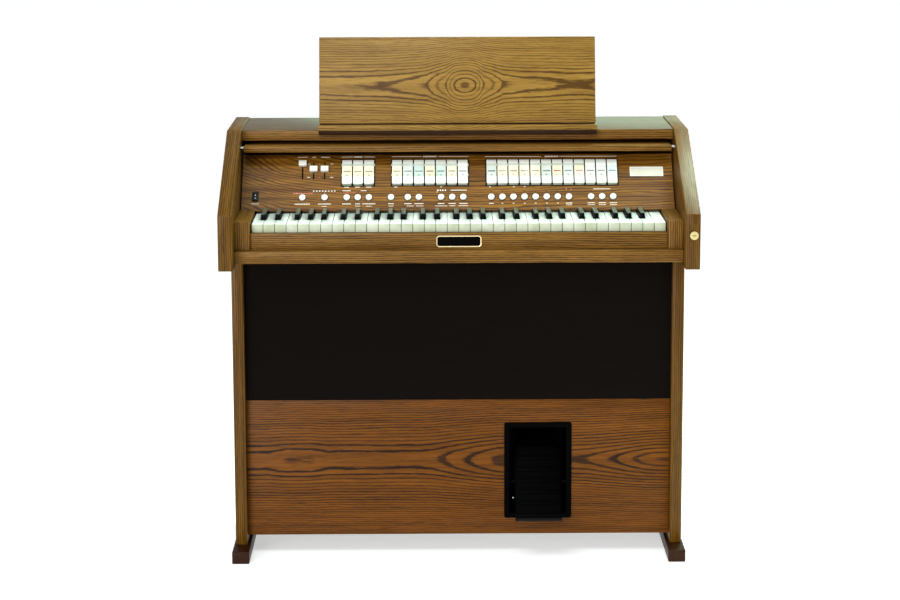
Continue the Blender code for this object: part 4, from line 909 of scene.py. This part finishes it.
# Dark marks: one row under each of the two cream rows
darks = [dash(-0.3035 + i * 0.0063, 0.0415, 0.0034, 0.0022) for i in range(8)]
darks += [dash(-0.0380 + i * 0.0060, 0.0436, 0.0040, 0.0018) for i in range(10)]
printed = join([ink("panel_print", lines, print_cream), ink("reds", reds, print_red),
                ink("darks", darks, print_dark)])
printed.data.transform(PANEL)
mount(printed, "panel_print", "cabinet", "cream_plate")

# Small lamps over the push buttons
lamp = ease(round_bar("lamp", LAMP_R, *LAMP_HEIGHTS, 16), LAMP_EDGE, lambda a, b: min(a.z, b.z) > 0.0)
lamp_places = [-0.1408, -0.1053, -0.0820]
lamp_places += [0.0702 + i * STEP for i in range(7)] + [0.2800 + i * STEP for i in range(3)]
lamps = paint(copies(lamp, [Matrix.Translation((x, LAMP_S, 0.0)) for x in lamp_places]), [print_dark])
lamps.data.transform(PANEL)
mount(lamps, "button_lamps", "cabinet", "black_plastic")

# Plates: both blank, with a border
plate = solid_copy("panel_plate")
plate.data.transform(PANEL.inverted())
ease(plate, PLATE_CORNER, lambda a, b: abs(a.z - b.z) > ON_FACE, segments=3)
open_edit(plate)
pick_faces(plate, lambda at, normal: normal.z > FACING)
bpy.ops.mesh.inset(thickness=LABEL_BORDER)
bpy.ops.transform.translate(value=(0.0, 0.0, -LABEL_SINK))
close_edit()
paint(plate, [plate_edge, plate_cream], lambda at, normal: int(normal.z > FACING and at.z < 0.00120))
plate.data.transform(PANEL)
stand_for(plate, "panel_plate")

badge = solid_copy("slip_plate")
open_edit(badge)
pick_faces(badge, lambda at, normal: normal.y < -FACING)
bpy.ops.mesh.inset(thickness=BADGE_BORDER)
bpy.ops.transform.translate(value=(0.0, BADGE_SINK, 0.0))
close_edit()
paint(badge, [plate_gold, plate_black],
      lambda at, normal: int(normal.y < -FACING and at.y > SLIP_PLATE_Y + 0.0002))
stand_for(badge, "slip_plate")

# Lock
lock = ease(solid_copy("lock_barrel"), LOCK_EDGE, least=0.003)
# Faces that do not look straight out take the darker brass: painted shade on the rim and in the keyhole.
stand_for(paint(lock, [brass, brass_painted_shade], lambda middle, normal: int(normal.y > -FACING)), "lock_barrel")

# Swell pedal
well = solid_copy("pedal_well")
flange_ends = {round(PEDAL_X + side * FLANGE_WIDTH / 2, 4) for side in (-1, 1)}
ease(well, FLANGE_CORNER, lambda a, b: round(a.x, 4) in flange_ends and abs(a.y - b.y) > 0.002
     and abs(a.z - b.z) < 0.0001, segments=4)
ease(well, FLANGE_EDGE, lambda a, b: max(a.y, b.y) < KNEE_Y - 0.0025)
stand_for(paint(well, [pedal_black]), "pedal_well")
tread = ease(solid_copy("pedal_tread"), TREAD_EDGE, least=0.006)
lip_y, lip_z = TREAD_LIP_EDGE
# A thin band along the upper edge of the lip is painted grey: a painted highlight.
paint(tread, [tread_rubber, tread_painted_highlight],
      lambda middle, normal: int(abs(middle.y - lip_y) < LIP_HIGHLIGHT_REACH and abs(middle.z - lip_z) < LIP_HIGHLIGHT_REACH))
stand_for(tread, "pedal_tread")

# Stop rod beside the tread, with a plated screw at its head
rod = ease(round_bar("stop_rod", STOP_ROD_R, *STOP_ROD_HEIGHTS, 16, STOP_PLACE), ROD_EDGE)
head = ease(round_bar("stop_screw", STOP_SCREW_R, 0.0, STOP_SCREW_T, 20), STOP_SCREW_EDGE,
            lambda a, b: min(a.z, b.z) > STOP_SCREW_T / 2)
head.data.transform(Matrix.Translation((*STOP_PLACE, STOP_SCREW_Z)) @ Matrix.Rotation(radians(90), 4, "X"))
mount(join([paint(rod, [tread_rubber]), paint(head, [steel])]), "pedal_stop", "cabinet", "black_plastic")

# Speaker cloth, pulled tight over the baffle
width, height, foot, thickness = CLOTH
bpy.ops.object.select_all(action="DESELECT")
bpy.ops.mesh.primitive_grid_add(x_subdivisions=48, y_subdivisions=18, size=1.0,
                                rotation=(radians(90), 0.0, 0.0),
                                location=(0.0, KNEE_Y + 0.0002, foot + height / 2))
bpy.context.object.scale = (width, height, 1.0)
grille = rest_at_origin("speaker_cloth")
layer = grille.modifiers.new("thickness", "SOLIDIFY")
layer.thickness = thickness
layer.offset = -1.0
bpy.ops.object.modifier_apply(modifier=layer.name)
paint(grille, [cloth])
mount(grille, "speaker_cloth", "cabinet", "grille_cloth", "grille_cloth")

# Back: pan-head screws round the board
screw = round_bar("screw", BACK_SCREW_R, 0.0, BACK_SCREW_T, 24)
ease(screw, BACK_SCREW_EDGE, lambda a, b: min(a.z, b.z) > BACK_SCREW_T / 2, segments=3)
open_edit(screw)
pick_faces(screw, lambda at, normal: normal.z > FACING)
bpy.ops.mesh.inset(thickness=RECESS_RIM)
bpy.ops.mesh.extrude_region_move(TRANSFORM_OT_translate={"value": (0.0, 0.0, -RECESS_DEPTH)})
close_edit()
out = Matrix.Rotation(radians(-90), 4, "X")
spots = [(x, z) for z in SCREW_ROWS for x in SCREW_ROW_PLACES]
spots += [(x, z) for x in SCREW_COLUMNS for z in SCREW_COLUMN_PLACES]
screws = copies(screw, [Matrix.Translation((x, BACK_FACE_Y, z)) @ out for x, z in spots])
mount(paint(screws, [steel]), "back_screws", "cabinet", "steel")

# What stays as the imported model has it
for node, look in {"back_board": back_hardboard, "key_bed": board_chip, "key_frame": steel, "lid_rod": steel,
                   "pedal_axle": blued_steel, "power_amplifier": steel, "mains_inlet": socket_black,
                   "mains_transformer": laminate, "left_speaker": iron, "right_speaker": iron,
                   "speaker_baffle": baffle_chip, "tone_board": green_board}.items():
    coat(node, look)

# Floor
bpy.ops.object.select_all(action="DESELECT")
bpy.ops.mesh.primitive_plane_add(size=40.0)
floor = bpy.context.object
floor.name = "floor"
pale, tree, shader = finish_of("pale_floor", Roughness=0.9, Base_Color=rgb("F4F5F8"),
                               Emission_Color=rgb("FFFFFF"))
ray = add(tree, "LightPath")
seen = add(tree, "Math", [ray.outputs["Is Camera Ray"], ray.outputs["Is Glossy Ray"]], operation="MAXIMUM")
seen = add(tree, "Math", [seen, ray.outputs["Is Transmission Ray"]], operation="MAXIMUM")
feed(tree, shader, {"Emission Strength": add(tree, "Math", [seen, 0.50], operation="MULTIPLY")})
floor.data.materials.append(pale)

# Light: an even room, one broad, soft lamp from the front left, and windows in front, above the
# right cheek, over the panel and behind
world = bpy.data.worlds.new("room")
scene.world = world
world.use_nodes = True
feed(world.node_tree, world.node_tree.nodes["Background"], {"Color": rgb("F4F8F8"), "Strength": 0.48})

bright = bpy.data.lights.new("broad_lamp", "SUN")
bright.energy = 1.50
bright.angle = radians(30.0)
bright.color = rgb("FFFBF4")[:3]
lamp_head = bpy.data.objects.new("broad_lamp", bright)
scene.collection.objects.link(lamp_head)
lamp_head.rotation_euler = Vector((0.40, 0.88, -0.24)).to_track_quat("-Z", "Y").to_euler()


def window(name, place, aim, size, power, colour):
    """Hang a rectangular window of light and turn it towards a point."""
    data = bpy.data.lights.new(name, "AREA")
    data.shape = "RECTANGLE"
    data.size, data.size_y = size
    data.energy = power
    data.color = rgb(colour)[:3]
    made = bpy.data.objects.new(name, data)
    scene.collection.objects.link(made)
    made.location = place
    made.rotation_euler = (Vector(aim) - Vector(place)).to_track_quat("-Z", "Y").to_euler()
    made.visible_camera = False


window("front_window", (-0.6, -1.7, 2.9), (0.0, -0.1, 0.75), (1.6, 1.0), 40.0, "F2FFFC")
window("right_window", (0.90, 0.66, 2.45), (0.47, -0.12, 0.86), (0.9, 0.9), 62.0, "D6F4DC")
window("panel_window", (0.80, -0.60, 2.45), (0.40, 0.0, 0.82), (0.6, 0.4), 7.0, "F0F6DE")
window("rear_window", (0.95, 3.60, 1.60), (0.0, 0.0, 0.9), (3.2, 1.2), 20.0, "B4E0C0")

# Camera: the photograph's place, tilt and lens
turn, dip, roll = 0.0075, 0.1577, 0.003
ahead = Vector((sin(turn) * cos(dip), cos(turn) * cos(dip), -sin(dip)))
right = Vector((cos(turn), -sin(turn), 0.0))
up = right.cross(ahead)
across_frame = cos(roll) * right - sin(roll) * up
up_frame = sin(roll) * right + cos(roll) * up
lens = bpy.data.cameras.new("camera")
lens.lens = 92.07
lens.sensor_width = 36.0
lens.shift_y = -100 / 900
lens.dof.use_dof = False
camera = bpy.data.objects.new("camera", lens)
scene.collection.objects.link(camera)
camera.matrix_world = Matrix.Translation((-0.0526, -4.8145, 1.5462)) @ Matrix(
    (across_frame, up_frame, -ahead)).transposed().to_4x4()
scene.camera = camera
scene.view_settings.view_transform = "Standard"
